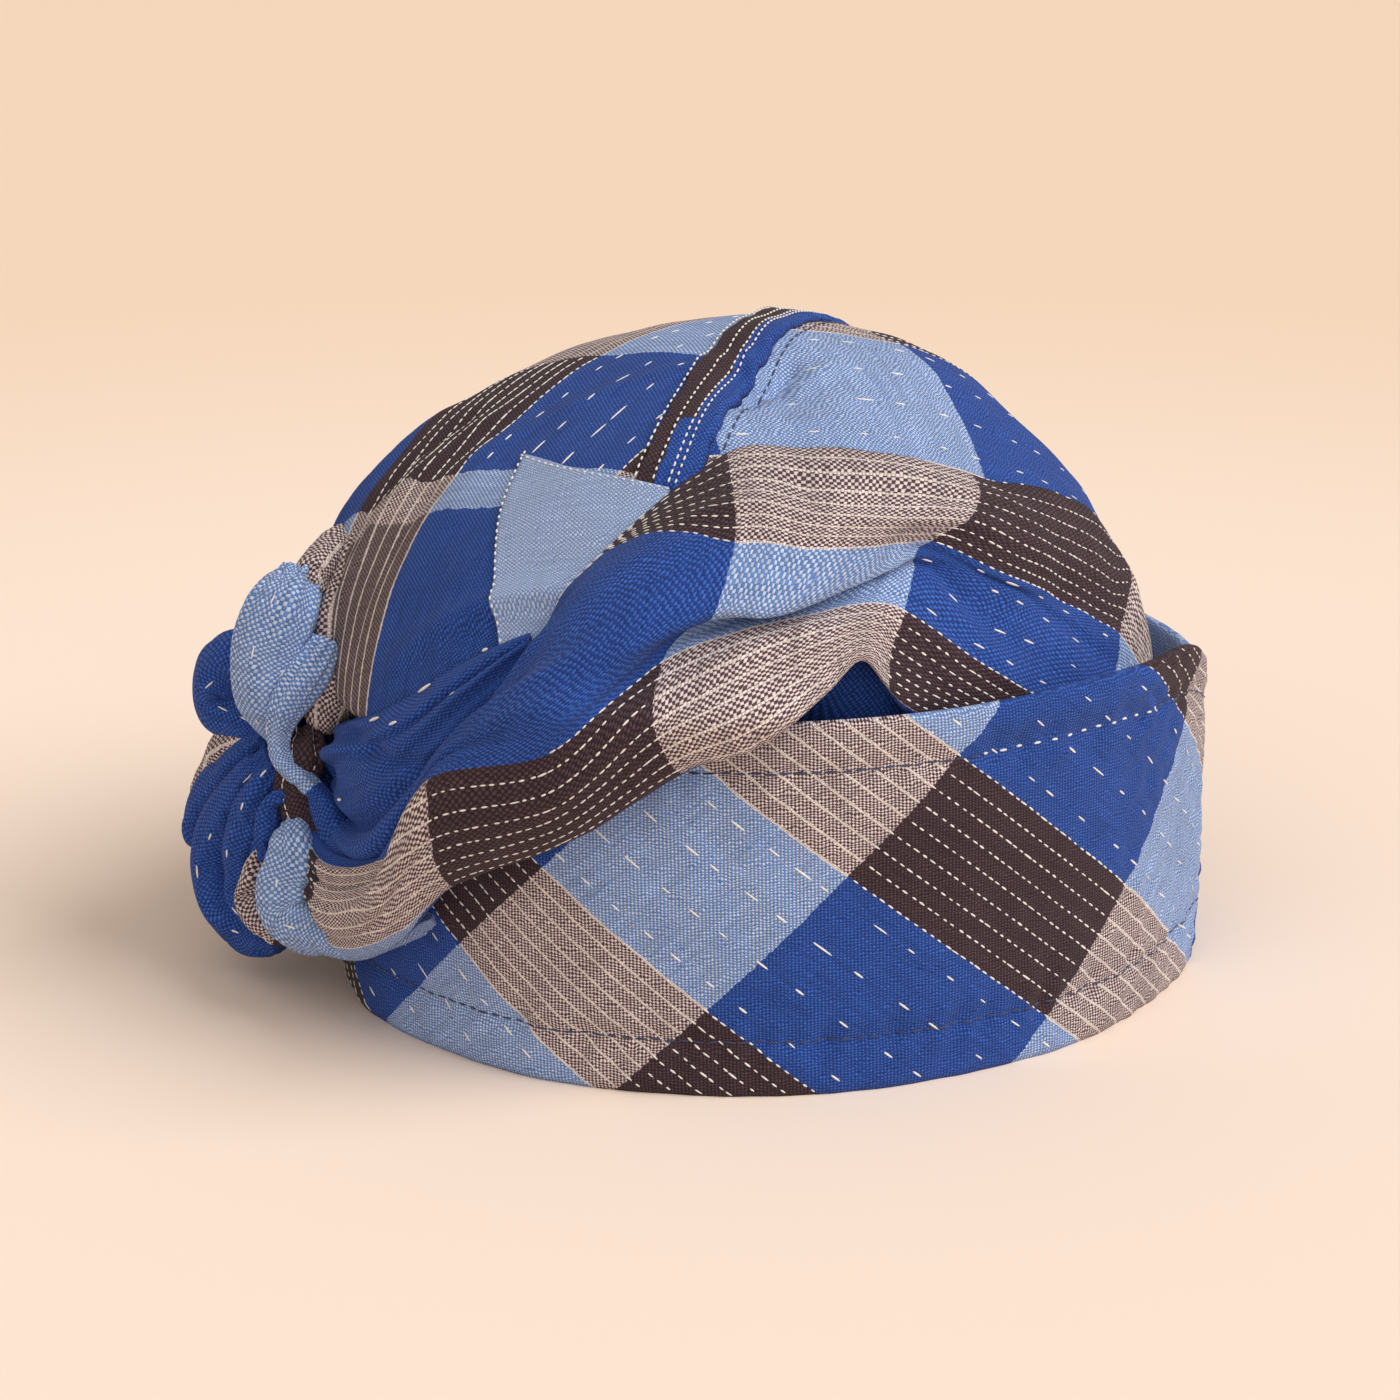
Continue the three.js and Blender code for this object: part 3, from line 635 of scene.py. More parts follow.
# Soft folds in the crown's cloth: angle and rise of one end and of the other, width and height.
CROWN_CREASES = [
    (26, 29, 4, 15, 3.0, 2.0), (33, 73, -6, 39, 3.0, 0.7), (30, 76, -12, 42, 5.0, -0.7),
    (50, 66, 66, 75, 2.4, -2.2), (44, 76, 58, 67, 2.2, 1.4), (70, 70, 88, 74, 2.4, 1.2),
    (-11, 8, -13, 46, 3.2, 1.8), (-17, 10, -20, 44, 2.6, -1.6), (-23, 12, -29, 42, 3.4, 1.6),
    (-5, 10, -6, 34, 2.4, -1.0), (-45, 14, -50, 50, 6.0, -1.2), (-90, 20, -80, 58, 7.0, -1.4),
    (-130, 22, -118, 60, 6.0, 1.2), (172, 24, 165, 56, 7.0, -1.2),
]
SEAM_ANGLE = 40
SEAM_MIDDLE = -1.25
# How the plaid lies on each panel. The left one hangs its stripes front to back, with its narrow
# white weft band at the front. The right one runs on from the wrap's upper edge.
LEFT_PANEL = {
    "skew": 0.21, "drift": 0.70, "far_side": {"from": 60, "to": 80, "share": 0.8},
    "weft_edges": ([-188, -160, -94.6, -82, -27, 24, 75, 126, 177], [1, 2, 3, 4, 5, 6, 7, 8, 9]),
}
RIGHT_PANEL = {
    "rise_direction": (-0.635, 0.231, 0.737), "edge": 58.9, "run_direction": (-0.071, 0.926, -0.372),
    "flat_within": 58, "blue": 43, "weft_start": -83, "weft_band": 58,
}
# Under the wrap's highest fold the crown is pushed in, so that the fold stands open there. The crown
# is dark blue in the fold's depth: NAVY is the stripe and weft band of that colour.
PUSHED_IN = {"angle": 62, "rise": 11, "spread": 7, "depth": 10, "navy_within": 22}
NAVY = (1.5, 2.5)
CROWN_COLUMNS = 400


def smooth_max(x, y, blend):
    return (x + y + np.hypot(x - y, blend)) / 2


def crease(x, y, start, end, width, height):
    """A fold along a straight line that fades at its ends: a ridge, or a groove if height is below 0."""
    along = np.array(end, float) - start
    length = np.hypot(*along)
    t = ((x - start[0]) * along[0] + (y - start[1]) * along[1]) / length ** 2
    aside = ((x - start[0]) * -along[1] + (y - start[1]) * along[0]) / length
    beyond = np.maximum(np.maximum(-t, t - 1), 0) * length
    return height * np.exp(-(aside / width) ** 2 - (beyond / (2 * width)) ** 2)


def stripe(across):
    """Stripes counted from millimetres across the warp: brown from 0 to 1, blue from 1 to 2, and on."""
    pair = BROWN_STRIPE + BLUE_STRIPE
    whole = np.floor(across / pair)
    rest = across - whole * pair
    part = np.where(rest < BROWN_STRIPE, rest / BROWN_STRIPE, 1 + (rest - BROWN_STRIPE) / BLUE_STRIPE)
    return 2 * whole + part


def weld(piece, distance=1e-6):
    """Merges points that lie on each other, as at a pole or along a join."""
    shape = bmesh.new()
    shape.from_mesh(piece.data)
    bmesh.ops.remove_doubles(shape, verts=shape.verts, dist=distance)
    bmesh.ops.dissolve_degenerate(shape, edges=shape.edges, dist=distance / 10)
    shape.to_mesh(piece.data)
    shape.free()


def rolled_flat(angle, rise):
    """A point of the dome laid out flat round its top, in millimetres."""
    reach = np.radians(90 - np.asarray(rise, float)) * DOME_RADIUS
    return reach * np.sin(np.radians(angle)), -reach * np.cos(np.radians(angle))


def crown_relief(angle, rise):
    x, y = rolled_flat(angle, rise)
    relief = 0.45 * waves(x, y, 46, 31) + 0.22 * waves(x, y, 19, 32)
    for angle, rise, to_angle, to_rise, width, height in CROWN_CREASES:
        ends = np.array([rolled_flat(angle, rise), rolled_flat(to_angle, to_rise)])
        relief += crease(x, y, *ends, width, height)
    return relief


def crown_reach(angle, rise):
    """Reach from the hat's middle point to the crown's outside."""
    angle, rise = np.broadcast_arrays(np.asarray(angle, float), np.asarray(rise, float))
    lean = np.cos(np.radians(angle - CROWN_LEAN_ANGLE))
    shift = np.where(lean > 0, CROWN_FULLER * lean, -CROWN_SLACKER * lean ** 2)
    level = band_radius(angle) - CROWN_INSET + shift
    power = 2.06 + 0.16 * lean
    cos = np.abs(np.cos(np.radians(rise)))
    sin = np.abs(np.sin(np.radians(rise)))
    reach = ((cos / level) ** power + (sin / CROWN_RISE) ** power) ** (-1 / power)
    for dent_angle, dent_rise, spread, depth in DENTS:
        offset = np.hypot((angle - dent_angle) * cos, rise - dent_rise) / spread
        reach = reach - depth * np.exp(-offset ** 2)
    reach = reach + crown_relief(angle, rise) * smooth(rise, 8, 22)
    height = CENTRE_HEIGHT + reach * np.sin(np.radians(rise))
    over = np.maximum(height - rim_height(angle) - CROWN_CLEAR, 0)
    limit = (band_radius(angle) - BAND_WALL - CROWN_TUCK + 1.2 * over) / np.maximum(cos, 0.2)
    return np.where(rise < CROWN_SIDE_BELOW, -smooth_max(-reach, -limit, 1), reach)


def place(angle, rise, reach):
    """A point at an angle, a rise and a reach from the hat's middle point."""
    level = reach * np.cos(np.radians(rise))
    return around(angle, level, CENTRE_HEIGHT + reach * np.sin(np.radians(rise)))


def left_cloth(points):
    x, y, z = np.moveaxis(points, -1, 0)
    up = z - CENTRE_HEIGHT
    across = DOME_RADIUS * np.arcsin(np.clip(x / DOME_RADIUS, -1, 1))
    across += LEFT_PANEL["skew"] * (y + BAND_HALF_LENGTH)
    # On the steep far side the cloth goes on downwards, where x alone would stand still.
    far = LEFT_PANEL["far_side"]
    across -= far["share"] * smooth(-x, far["from"], far["to"]) * np.maximum(DOME_RADIUS - z, 0)
    along = (np.arctan2(up, -y) - math.pi / 2) * np.hypot(y, up) - LEFT_PANEL["drift"] * x
    weft = np.interp(along, *LEFT_PANEL["weft_edges"])
    return np.stack([stripe(across + BROWN_STRIPE), weft], -1), np.stack([across, along], -1)


def right_cloth(points):
    panel = RIGHT_PANEL
    middle = np.array([0, 0, CENTRE_HEIGHT])
    rise, run = np.array(panel["rise_direction"]), np.array(panel["run_direction"])
    facing = np.cross(rise, run)
    facing *= np.sign(facing[0])
    out = points - middle
    away = np.arctan2(np.hypot(out @ rise, out @ run), out @ facing)
    flat = math.radians(panel["flat_within"])
    rolled = math.sin(flat) + math.cos(flat) * (away - flat)
    spread = np.where(away > flat, rolled / np.maximum(np.sin(away), 0.05), 1)
    across = out @ rise * spread + middle @ rise - panel["edge"]
    along = out @ run * spread + middle @ run
    stripes = np.interp(across, [-BROWN_STRIPE, 0, panel["blue"], panel["blue"] + BROWN_STRIPE,
                                 2 * panel["blue"] + BROWN_STRIPE], [0, 1, 2, 3, 4])
    weft = 3 + (along - panel["weft_start"]) / panel["weft_band"]
    return np.stack([stripes, weft], -1), np.stack([across, along], -1)


def seam_offset(points):
    turn = math.radians(SEAM_ANGLE)
    return points @ np.array([math.cos(turn), math.sin(turn), 0])


def two_panels(points, faces):
    """Plaid and thread coordinates for each corner, from the panel that each face belongs to."""
    right = seam_offset(points[faces].mean(1)) > SEAM_MIDDLE
    return right, *[np.where(right[:, None, None], on_right[faces], on_left[faces])
                    for on_left, on_right in zip(left_cloth(points), right_cloth(points))]


def from_pushed_in(angle, rise):
    return np.hypot(angle - PUSHED_IN["angle"], rise - PUSHED_IN["rise"])


def crown_surface(angle, rise):
    offset = from_pushed_in(angle, rise) / PUSHED_IN["spread"]
    return crown_reach(angle, rise) - PUSHED_IN["depth"] * np.exp(-offset ** 2)


def make_crown():
    """The crown, and the outer face of each panel alone."""
    angles = np.linspace(-180, 180, CROWN_COLUMNS + 1)[:-1]
    hem = math.degrees(math.atan2(CROWN_HEM_HEIGHT - CENTRE_HEIGHT, BAND_HALF_WIDTH))
    outer_rises = np.linspace(hem, 90, 104)
    inner_rises = np.linspace(90, hem, 40)
    outer = np.stack([place(angles, rise, crown_surface(angles, rise)) for rise in outer_rises])
    inner = np.stack([place(angles, rise, crown_surface(angles, rise) - CROWN_WALL)
                      for rise in inner_rises])
    points = np.concatenate([outer, inner]).reshape(-1, 3)
    faces = outward(points, quad_faces(len(outer_rises) + len(inner_rises), CROWN_COLUMNS, True, True))
    right, plaid, thread = two_panels(points, faces)
    x, y, z = points[faces].mean(1).T
    rise = np.degrees(np.arctan2(z - CENTRE_HEIGHT, np.hypot(x, y)))
    plaid[from_pushed_in(np.degrees(np.arctan2(x, -y)), rise) < PUSHED_IN["navy_within"]] = NAVY
    crown = make_mesh("crown_panels", points, faces, plaid.reshape(-1, 2), thread.reshape(-1, 2))
    weld(crown)
    face_points = outer.reshape(-1, 3)
    grid = outward(face_points, quad_faces(len(outer_rises) - 1, CROWN_COLUMNS, False, True), HAT_HEART)
    right, plaid, thread = two_panels(face_points, grid)
    faces_of = {}
    for side, chosen in (("left", ~right), ("right", right)):
        faces_of[side] = make_mesh(f"crown_{side}_face", face_points, grid[chosen],
                                   plaid[chosen].reshape(-1, 2), thread[chosen].reshape(-1, 2))
    return crown, faces_of


crown, crown_faces = make_crown()
crown.data.materials.append(cloth_material("crown_plaid", whole_lines_below=3.0))
crown_dashes = join("crown_dashes", [weave_dashes("crown_left", crown_faces["left"], 41, 4, 4),
                                     weave_dashes("crown_right", crown_faces["right"], 42)])
ride(crown, "crown_cloth", "crown")
ride(crown_dashes, "crown_cloth")

# ---- seam strip ------------------------------------------------------------------------------------
# The seam of the two panels is a welt: a folded strip cut along the stripes, stitched down on its
# right with dark thread and edged by the weave's own white dashes.
STRIP_SIDES = {"left": -7, "right": 4.5}
STRIP_THICK = 1.6
STRIP_ENDS = {"front": 45.5, "back": 174}
STRIP_DASH_ROWS = [-6.7, -3.3, -0.4, 0.9]
STRIP_STITCH = {"stitch": 2.4, "gap": 0.7, "thickness": 0.55}
STRIP_DASH = {"stitch": 1.3, "gap": 0.75, "thickness": 0.5}
# Offsets and the stripes that lie there, with blue further to the left below a climb than above it.
STRIP_BLUE_BELOW = 57
STRIP_STRIPES = {"below": ([-7, -3.3, -3.1, 0.9, 4.5], [0.78, 0.96, 1.01, 1.1, 1.3]),
                 "above": ([-7, -3.3, -0.4, -0.2, 0.9, 4.5], [0.76, 0.86, 0.96, 1.02, 1.1, 1.3])}


def on_crown(angle, rise, lift):
    return place(angle, rise, crown_reach(angle, rise) + lift)


def over_top(climb, offset, lift):
    """A point of the plane of the seam, moved aside, on the crown. climb goes on past 90 to the back."""
    turn = math.radians(SEAM_ANGLE)
    ahead = np.array([math.sin(turn), -math.cos(turn), 0])
    aside = np.array([math.cos(turn), math.sin(turn), 0])
    climb, offset = np.broadcast_arrays(np.radians(climb), np.asarray(offset, float))
    direction = CROWN_RISE * (np.cos(climb)[..., None] * ahead + np.sin(climb)[..., None] * [0, 0, 1])
    direction = direction + offset[..., None] * aside
    angle = np.degrees(np.arctan2(direction[..., 0], -direction[..., 1]))
    rise = np.degrees(np.arcsin(direction[..., 2] / np.linalg.norm(direction, axis=-1)))
    return on_crown(angle, rise, lift)


def capped_tube(points):
    """Points of a closed tube of rings, the faces of its sides, and those of its ends, each shut by a
    fan round a middle point."""
    rings, count = points.shape[:2]
    flat = points.reshape(-1, 3)
    sides = quad_faces(rings, count, False, True)
    here = np.arange(count)
    there = (here + 1) % count
    far = (rings - 1) * count
    first = np.column_stack([np.full(count, len(flat)), there, here])
    last = np.column_stack([np.full(count, len(flat) + 1), far + here, far + there])
    ends = np.concatenate([first, last])
    if not looks_out(flat, sides):
        sides, ends = sides[:, ::-1], ends[:, ::-1]
    return np.concatenate([flat, [points[0].mean(0), points[-1].mean(0)]]), sides, ends


def tube_piece(name, points, plaid, thread):
    """A closed tube. plaid and thread have one column more than points, for the tube's own seam."""
    all_points, sides, ends = capped_tube(points)
    layers = []
    for values in (plaid, thread):
        held = np.concatenate([values[:, :-1].reshape(-1, 2), [values[0].mean(0), values[-1].mean(0)]])
        on_sides = ring_corners(values, sides, points.shape[1])
        layers.append(np.concatenate([on_sides, held[ends].reshape(-1, 2)]))
    return make_mesh(name, all_points, sides.tolist() + ends.tolist(), *layers)


def make_strip():
    climbs = np.linspace(STRIP_ENDS["front"], STRIP_ENDS["back"], 190)
    half = (STRIP_SIDES["right"] - STRIP_SIDES["left"]) / 2
    shares = np.linspace(-1, 1, 25)
    across = (STRIP_SIDES["right"] + STRIP_SIDES["left"]) / 2 + half * shares
    profile = (1 - np.abs(shares) ** 9) ** 0.5 * (1 + 0.13 * np.cos(shares * 7))
    thick = STRIP_THICK * smooth(climbs, STRIP_ENDS["front"] - 2, STRIP_ENDS["front"] + 4)
    rings = []
    for climb, height in zip(climbs, thick):
        edge = 0.25 * np.sin(climb * 0.9) + 0.12 * np.sin(climb * 2.3)
        top = over_top(climb, across + edge, 0.12 + height * profile)
        under = over_top(climb, (across + edge)[::-1][1:-1:3], 0.08)
        rings.append(np.concatenate([top, under]))
    offsets = np.concatenate([across, across[::-1][1:-1:3], [STRIP_SIDES["left"]]])
    below = climbs[:, None] < STRIP_BLUE_BELOW + 0.15
    stripes = np.where(below, np.interp(offsets, *STRIP_STRIPES["below"]),
                       np.interp(offsets, *STRIP_STRIPES["above"]))
    along = np.radians(climbs)[:, None] * CROWN_RISE
    plaid = np.stack(np.broadcast_arrays(stripes, 0.5), -1)
    thread = np.stack(np.broadcast_arrays(offsets, along), -1)
    return tube_piece("seam_welt", np.stack(rings), plaid, thread)


strip = make_strip()
strip.data.materials.append(cloth_material("strip_plaid"))
row_climbs = np.linspace(STRIP_ENDS["front"] + 1, STRIP_ENDS["back"] - 1, 300)
strip_dashes = join("seam_welt_dashes", [
    stitch_row(f"welt_row_{number}", over_top(row_climbs, offset, STRIP_THICK + 0.28), WHITE_THREAD,
               **STRIP_DASH, seed=51 + number) for number, offset in enumerate(STRIP_DASH_ROWS)])
strip_seam = stitch_row("seam_welt_stitches", over_top(row_climbs, STRIP_SIDES["right"] + 2.4, 0.12),
                        NAVY_THREAD, **STRIP_STITCH, seed=57)
ride(strip, "strip_cloth", "seam_strip")
ride(strip_dashes, "strip_cloth")
ride(strip_seam, "strip_cloth")

# ---- patch -----------------------------------------------------------------------------------------
# A pieced patch of the light part of the plaid, laid on the left panel beside the welt. It is felled
# down with small white stitches and goes under the wrap.
PATCH_THICK = 0.9
# The patch from its upper edge down: rise, and the angles of its left and right edge.
PATCH_ROWS = [(46, 6, 40), (39, 10.5, 40), (32, 15.5, 37), (26, 19, 33), (20, 22, 29)]
PATCH_TURN = 24


def refine(rows, steps):
    """Catmull-Rom rows, with `steps` steps between one row and the next."""
    rows = np.asarray(rows, float)
    last = len(rows) - 1
    position = np.linspace(0, last, last * steps + 1)
    start = np.minimum(position.astype(int), last - 1)
    t = (position - start).reshape(-1, *([1] * (rows.ndim - 1)))
    before = rows[np.maximum(start - 1, 0)]
    here = rows[start]
    there = rows[start + 1]
    after = rows[np.minimum(start + 2, last)]
    slope_in = (there - before) / 2
    slope_out = (after - here) / 2
    rest = there - here
    return here + t * (slope_in + t * (3 * rest - 2 * slope_in - slope_out
                                       + t * (slope_in + slope_out - 2 * rest)))


def make_patch(rises, left, right):
    shares = np.linspace(0, 1, 42)
    near_edge = np.minimum(shares, 1 - shares) * 30
    rings = []
    for number, (rise, start, end) in enumerate(zip(rises, left, right)):
        angles = start + (end - start) * shares
        roll = np.minimum(near_edge, number * 0.6)
        lift = PATCH_THICK * (0.35 + 0.65 * np.sqrt(1 - (1 - np.clip(roll, 0, 1)) ** 2))
        rings.append(np.concatenate([on_crown(angles, rise, lift),
                                     on_crown(angles[::-1][1:-1:4], rise, 0.1)]))
    points = np.stack(rings)
    columns = np.concatenate([points, points[:, :1]], 1)
    plaid, thread = left_cloth(columns)
    plaid = np.stack([1 + np.clip(plaid[..., 0] % 2 - 1, 0.05, 0.94), 1.5 + 0 * plaid[..., 1]], -1)
    turn = math.radians(PATCH_TURN)
    thread = thread @ np.array([[math.cos(turn), -math.sin(turn)], [math.sin(turn), math.cos(turn)]])
    return tube_piece("light_patch", points, plaid, thread)


patch_rises, patch_left, patch_right = refine(PATCH_ROWS, 16).T
patch = make_patch(patch_rises, patch_left, patch_right)
patch.data.materials.append(cloth_material("patch_plaid", fade=0.25))
left_edge = on_crown(patch_left + 0.5, patch_rises, PATCH_THICK + 0.1)
top_angles = np.linspace(patch_left[0] + 0.5, patch_right[0] - 0.5, 60)
top_edge = on_crown(top_angles, patch_rises[0] - 0.5, PATCH_THICK)
patch_stitches = join("patch_stitches", [
    stitch_row("patch_left", left_edge, WHITE_THREAD, 0.9, 0.9, 0.5, seed=61),
    stitch_row("patch_top", top_edge, WHITE_THREAD, 0.9, 1.0, 0.5, seed=62)])
ride(patch, "patch_cloth", "crown_patch")
ride(patch_stitches, "patch_cloth")

# ---- front wrap ------------------------------------------------------------------------------------
# The wrap is one length of the plaid, gathered into the knot at the front, rolled up the wearer's
# left side, opened into a folded sheet at the side and tucked down inside the band near the back.
RIM_BRIDGE = 19
RIM_SINK = 16
INSIDE_RIM = {"gap": 0.45, "slope": 2.5}
WRAP_TUCKS = {"from": 68, "to": 84}
# The distance of each fold line across the cloth, and the stripes that lie there: brown to the first
# place, then blue, then brown to the hem. The first brown stripe runs out on the roll. The cloth that
# turns under at the hem is dark blue.
WRAP_ACROSS = [0, 17, 35, 47, 58, 73, 88, 108, 120]
WRAP_STRIPES = [0, 35, 73, 109]
BROWN_RUNS_OUT = {"from": 1.35, "to": 2.05}
KNOT_END = {"third": 26, "last": 13, "from": 0.35, "to": 1.0}
DARK_WEFT_TO = 1.03
# A row for each section from the knot to the tucked end: how many weft bands it lies along, then
# angle, rise and lift, over what lies under it, of nine fold lines. They are the edge, the crest, its
# fold, the belly, the valley, the rise out of it, the ridge, the hem and the tuck.
WRAP_SECTIONS = [
    (-0.3, (-12, -3, 4), (-12, -4, 7), (-12, -5, 8), (-12, -6, 9), (-12, -8, 9), (-12, -9, 9),
     (-11, -11, 8), (-11, -13, 5), (-11, -13, 1)),
    (0.0, (-4, -7, 3), (-3, -7, 6), (-2, -8, 9), (-1, -9, 11), (0, -10, 13), (0, -12, 14), (0, -15, 14),
     (-1, -19, 9), (-2, -19, 1)),
    (0.35, (8, -5, 2), (9, -5, 5), (9, -6, 8), (9, -7, 10), (9, -8, 12), (9, -10, 14), (8, -14, 15),
     (7, -18, 9), (6, -17, 1)),
    (0.65, (16, 1, 3), (16, 0, 7), (16, -1, 10), (15, -2, 12), (15, -3, 14), (15, -5, 16), (15, -9, 17),
     (14, -14, 9), (13, -12, 1)),
    (1.0, (25, 16, 2), (26, 15, 8), (26, 14, 13), (25, 12, 16), (24, 10, 17), (23, 7, 18), (23, 0, 19),
     (22, -6, 10), (20, -5, 1)),
    (1.5, (31, 33, 1), (35, 32, 10), (39, 28, 18), (40, 22, 22), (39, 17, 22), (37, 12, 20), (37, 6, 18),
     (36, 1, 8), (36, 4, 1)),
    (2.0, (49, 53, 1), (53, 42, 14), (54, 35, 19), (52, 27.5, 18), (49, 26.5, 12), (46, 22, 13),
     (47, 15, 17), (49, 10, 9), (50, 12, 1)),
    (2.35, (69, 55, 1), (66, 41, 15), (64, 35, 17), (60, 28, 15), (60, 31, 7), (56, 26.5, 11),
     (55, 20, 16), (57, 13, 8), (59, 21, -8)),
    (2.65, (86, 54, 1), (77, 41, 13), (74, 36, 13), (69, 31, 11), (70, 33.5, 5), (66, 29, 9),
     (64, 24, 14), (65, 19, 9), (66, 26, -9)),
    (2.87, (101, 51, 1), (88, 41, 11), (80, 37, 9), (77, 34, 7.5), (78, 35, 4), (74, 30, 8),
     (72, 26, 10), (71, 23, 8), (73, 26, -7)),
    (3.05, (112, 48, 1), (97, 40, 9), (87, 37, 7), (84, 36, 5), (84, 34.5, 3), (80, 28, 7), (77, 23, 7),
     (76, 17.5, 4), (78, 16, -4)),
    (3.3, (128, 43, 1), (110, 36, 6), (99, 32, 5), (97, 31, 4), (93, 27, 2), (89, 22, 5), (87, 17, 4),
     (86, 13, 3), (85, 8, 1)),
    (3.6, (141, 36, 1), (121, 31, 4), (110, 28, 3), (107, 26, 3), (103, 22, 3), (98, 16, 4), (97, 12, 3),
     (96, 9, 2), (95, 6, 1)),
    (3.85, (148, 30, 1), (132, 25, 3), (121, 22, 3), (118, 19, 3), (114, 15, 4), (111, 11, 3),
     (109, 9, 2), (107, 7, 2), (105, 5, 1)),
    (4.1, (155, 22, 1), (144, 18, 3), (132, 13, 3), (129, 10, 3), (126, 8, 3), (123, 7, 2), (120, 6, 2),
     (118, 5, 2), (116, 4, 1)),
    (4.45, (164, -10, 1), (155, -11, 1), (147, -12, 1), (143, -12, 1), (139, -13, 1), (135, -13, 1),
     (131, -14, 1), (128, -14, 1), (125, -14, 1)),
]
WRAP_STEPS = {"along": 26, "across": 13}
WRAP_UNDER = {"rows": 26, "width": 60, "lift": 0.35}
WEFT_BAND = 51
# Soft folds that run along the wrap: place across the cloth and weft band of one end and of the
# other, width and height.
WRAP_CREASES = [
    (8, 0.2, 14, 1.3, 2.6, -1.2), (22, 0.1, 26, 1.2, 3.0, 1.1), (33, 0.0, 38, 1.1, 2.6, -1.2),
    (50, 0.0, 46, 1.4, 3.2, 1.2), (62, 0.0, 60, 1.2, 2.8, -1.3), (78, 0.0, 74, 1.1, 3.2, 1.2),
    (92, 0.0, 88, 1.0, 2.8, -1.3), (20, 1.9, 23, 3.0, 3.4, 0.9), (12, 2.3, 15, 3.4, 3.0, -0.8),
    (84, 1.5, 80, 2.6, 3.5, 0.8), (66, 2.2, 70, 3.2, 3.0, -0.7), (40, 3.0, 48, 3.8, 4.0, -0.8),
    (60, 3.1, 76, 3.7, 4.0, 0.7),
]


def under_reach(angle, rise):
    """What the wrap lies on: the crown above the rim and the band's outside below it."""
    angle, rise = np.broadcast_arrays(np.asarray(angle, float), np.asarray(rise, float))
    crown_there = crown_reach(angle, rise)
    wall = band_radius(angle) / np.maximum(np.cos(np.radians(rise)), 0.2)
    height = CENTRE_HEIGHT + wall * np.sin(np.radians(rise))
    rim = rim_height(angle)
    sunk = wall - RIM_SINK * smooth(height - rim, -1, RIM_BRIDGE - 1)
    outside = 1 - smooth(angle, WRAP_TUCKS["from"], WRAP_TUCKS["to"])
    share = outside * (1 - smooth(height - rim, 0, RIM_BRIDGE))
    return smooth_max(crown_there, sunk, 2) * share + crown_there * (1 - share)


def place_over(angle, rise, lift):
    return place(angle, rise, under_reach(angle, rise) + lift)


def grid_normals(points):
    """Outward normals of a grid of points."""
    normal = np.cross(np.gradient(points, axis=0), np.gradient(points, axis=1))
    normal /= np.maximum(np.linalg.norm(normal, axis=-1, keepdims=True), 1e-9)
    return normal * np.sign(np.einsum("ijk,ijk->", normal, points - HAT_HEART))


def inside_band(points, angle):
    """Keeps cloth that goes down behind the rim on the inner side of the band's wall."""
    level = np.hypot(points[..., 0], points[..., 1])
    turn = np.degrees(np.arctan2(points[..., 0], -points[..., 1]))
    over = np.maximum(points[..., 2] - rim_height(turn), 0)
    limit = band_radius(turn) - BAND_WALL - INSIDE_RIM["gap"] + INSIDE_RIM["slope"] * over
    inner = np.minimum(level, limit)
    share = smooth(angle, WRAP_TUCKS["from"] - 5, WRAP_TUCKS["from"] + 2)
    scale = 1 + (inner / np.maximum(level, 1) - 1) * share
    return points * np.stack([scale, scale, np.ones_like(scale)], -1)


def fine_grid(sections, across, along_steps, across_steps):
    """Fold lines given at a few sections, and their places across the cloth, in small steps."""
    lines = refine(sections, along_steps)
    lines = np.moveaxis(refine(np.moveaxis(lines, 1, 0), across_steps), 0, 1)
    return lines, refine(across, across_steps)


def soft_sheet(lines, relief, shares, lift):
    """Points of the upper face of a soft sheet, and of its under side, which goes straight back from
    the last fold line to the first. Then the angles of both."""
    top = place_over(*np.moveaxis(lines, -1, 0))
    top = top + grid_normals(top) * relief[..., None]
    first, last = lines[:, :1], lines[:, -1:]
    under = first + (last - first) * shares[None, :, None]
    angle = np.concatenate([lines[..., 0], under[..., 0]], 1)
    return top, place_over(under[..., 0], under[..., 1], lift), angle


def wrap_plaid(side, run):
    """Plaid coordinates across and along the wrap."""
    second, third, last = WRAP_STRIPES[1:]
    turned_under = side > last
    brown = second * smooth(run, BROWN_RUNS_OUT["from"], BROWN_RUNS_OUT["to"])
    near_knot = 1 - smooth(run, KNOT_END["from"], KNOT_END["to"])
    third = third - KNOT_END["third"] * near_knot
    last = last - KNOT_END["last"] * near_knot
    stripes = np.where(side < brown, side / np.maximum(brown, 1), 1 + (side - brown) / (third - brown))
    stripes = np.where(side < third, stripes, 2 + (side - third) / (last - third))
    stripes = np.where(side < last, stripes, 3 + (side - last) / BLUE_STRIPE)
    stripes = np.where(turned_under, NAVY[0], stripes)
    dark = turned_under | ((side < third) & (run < DARK_WEFT_TO))
    return np.stack([stripes, np.where(dark, NAVY[1], 1 + run)], -1)


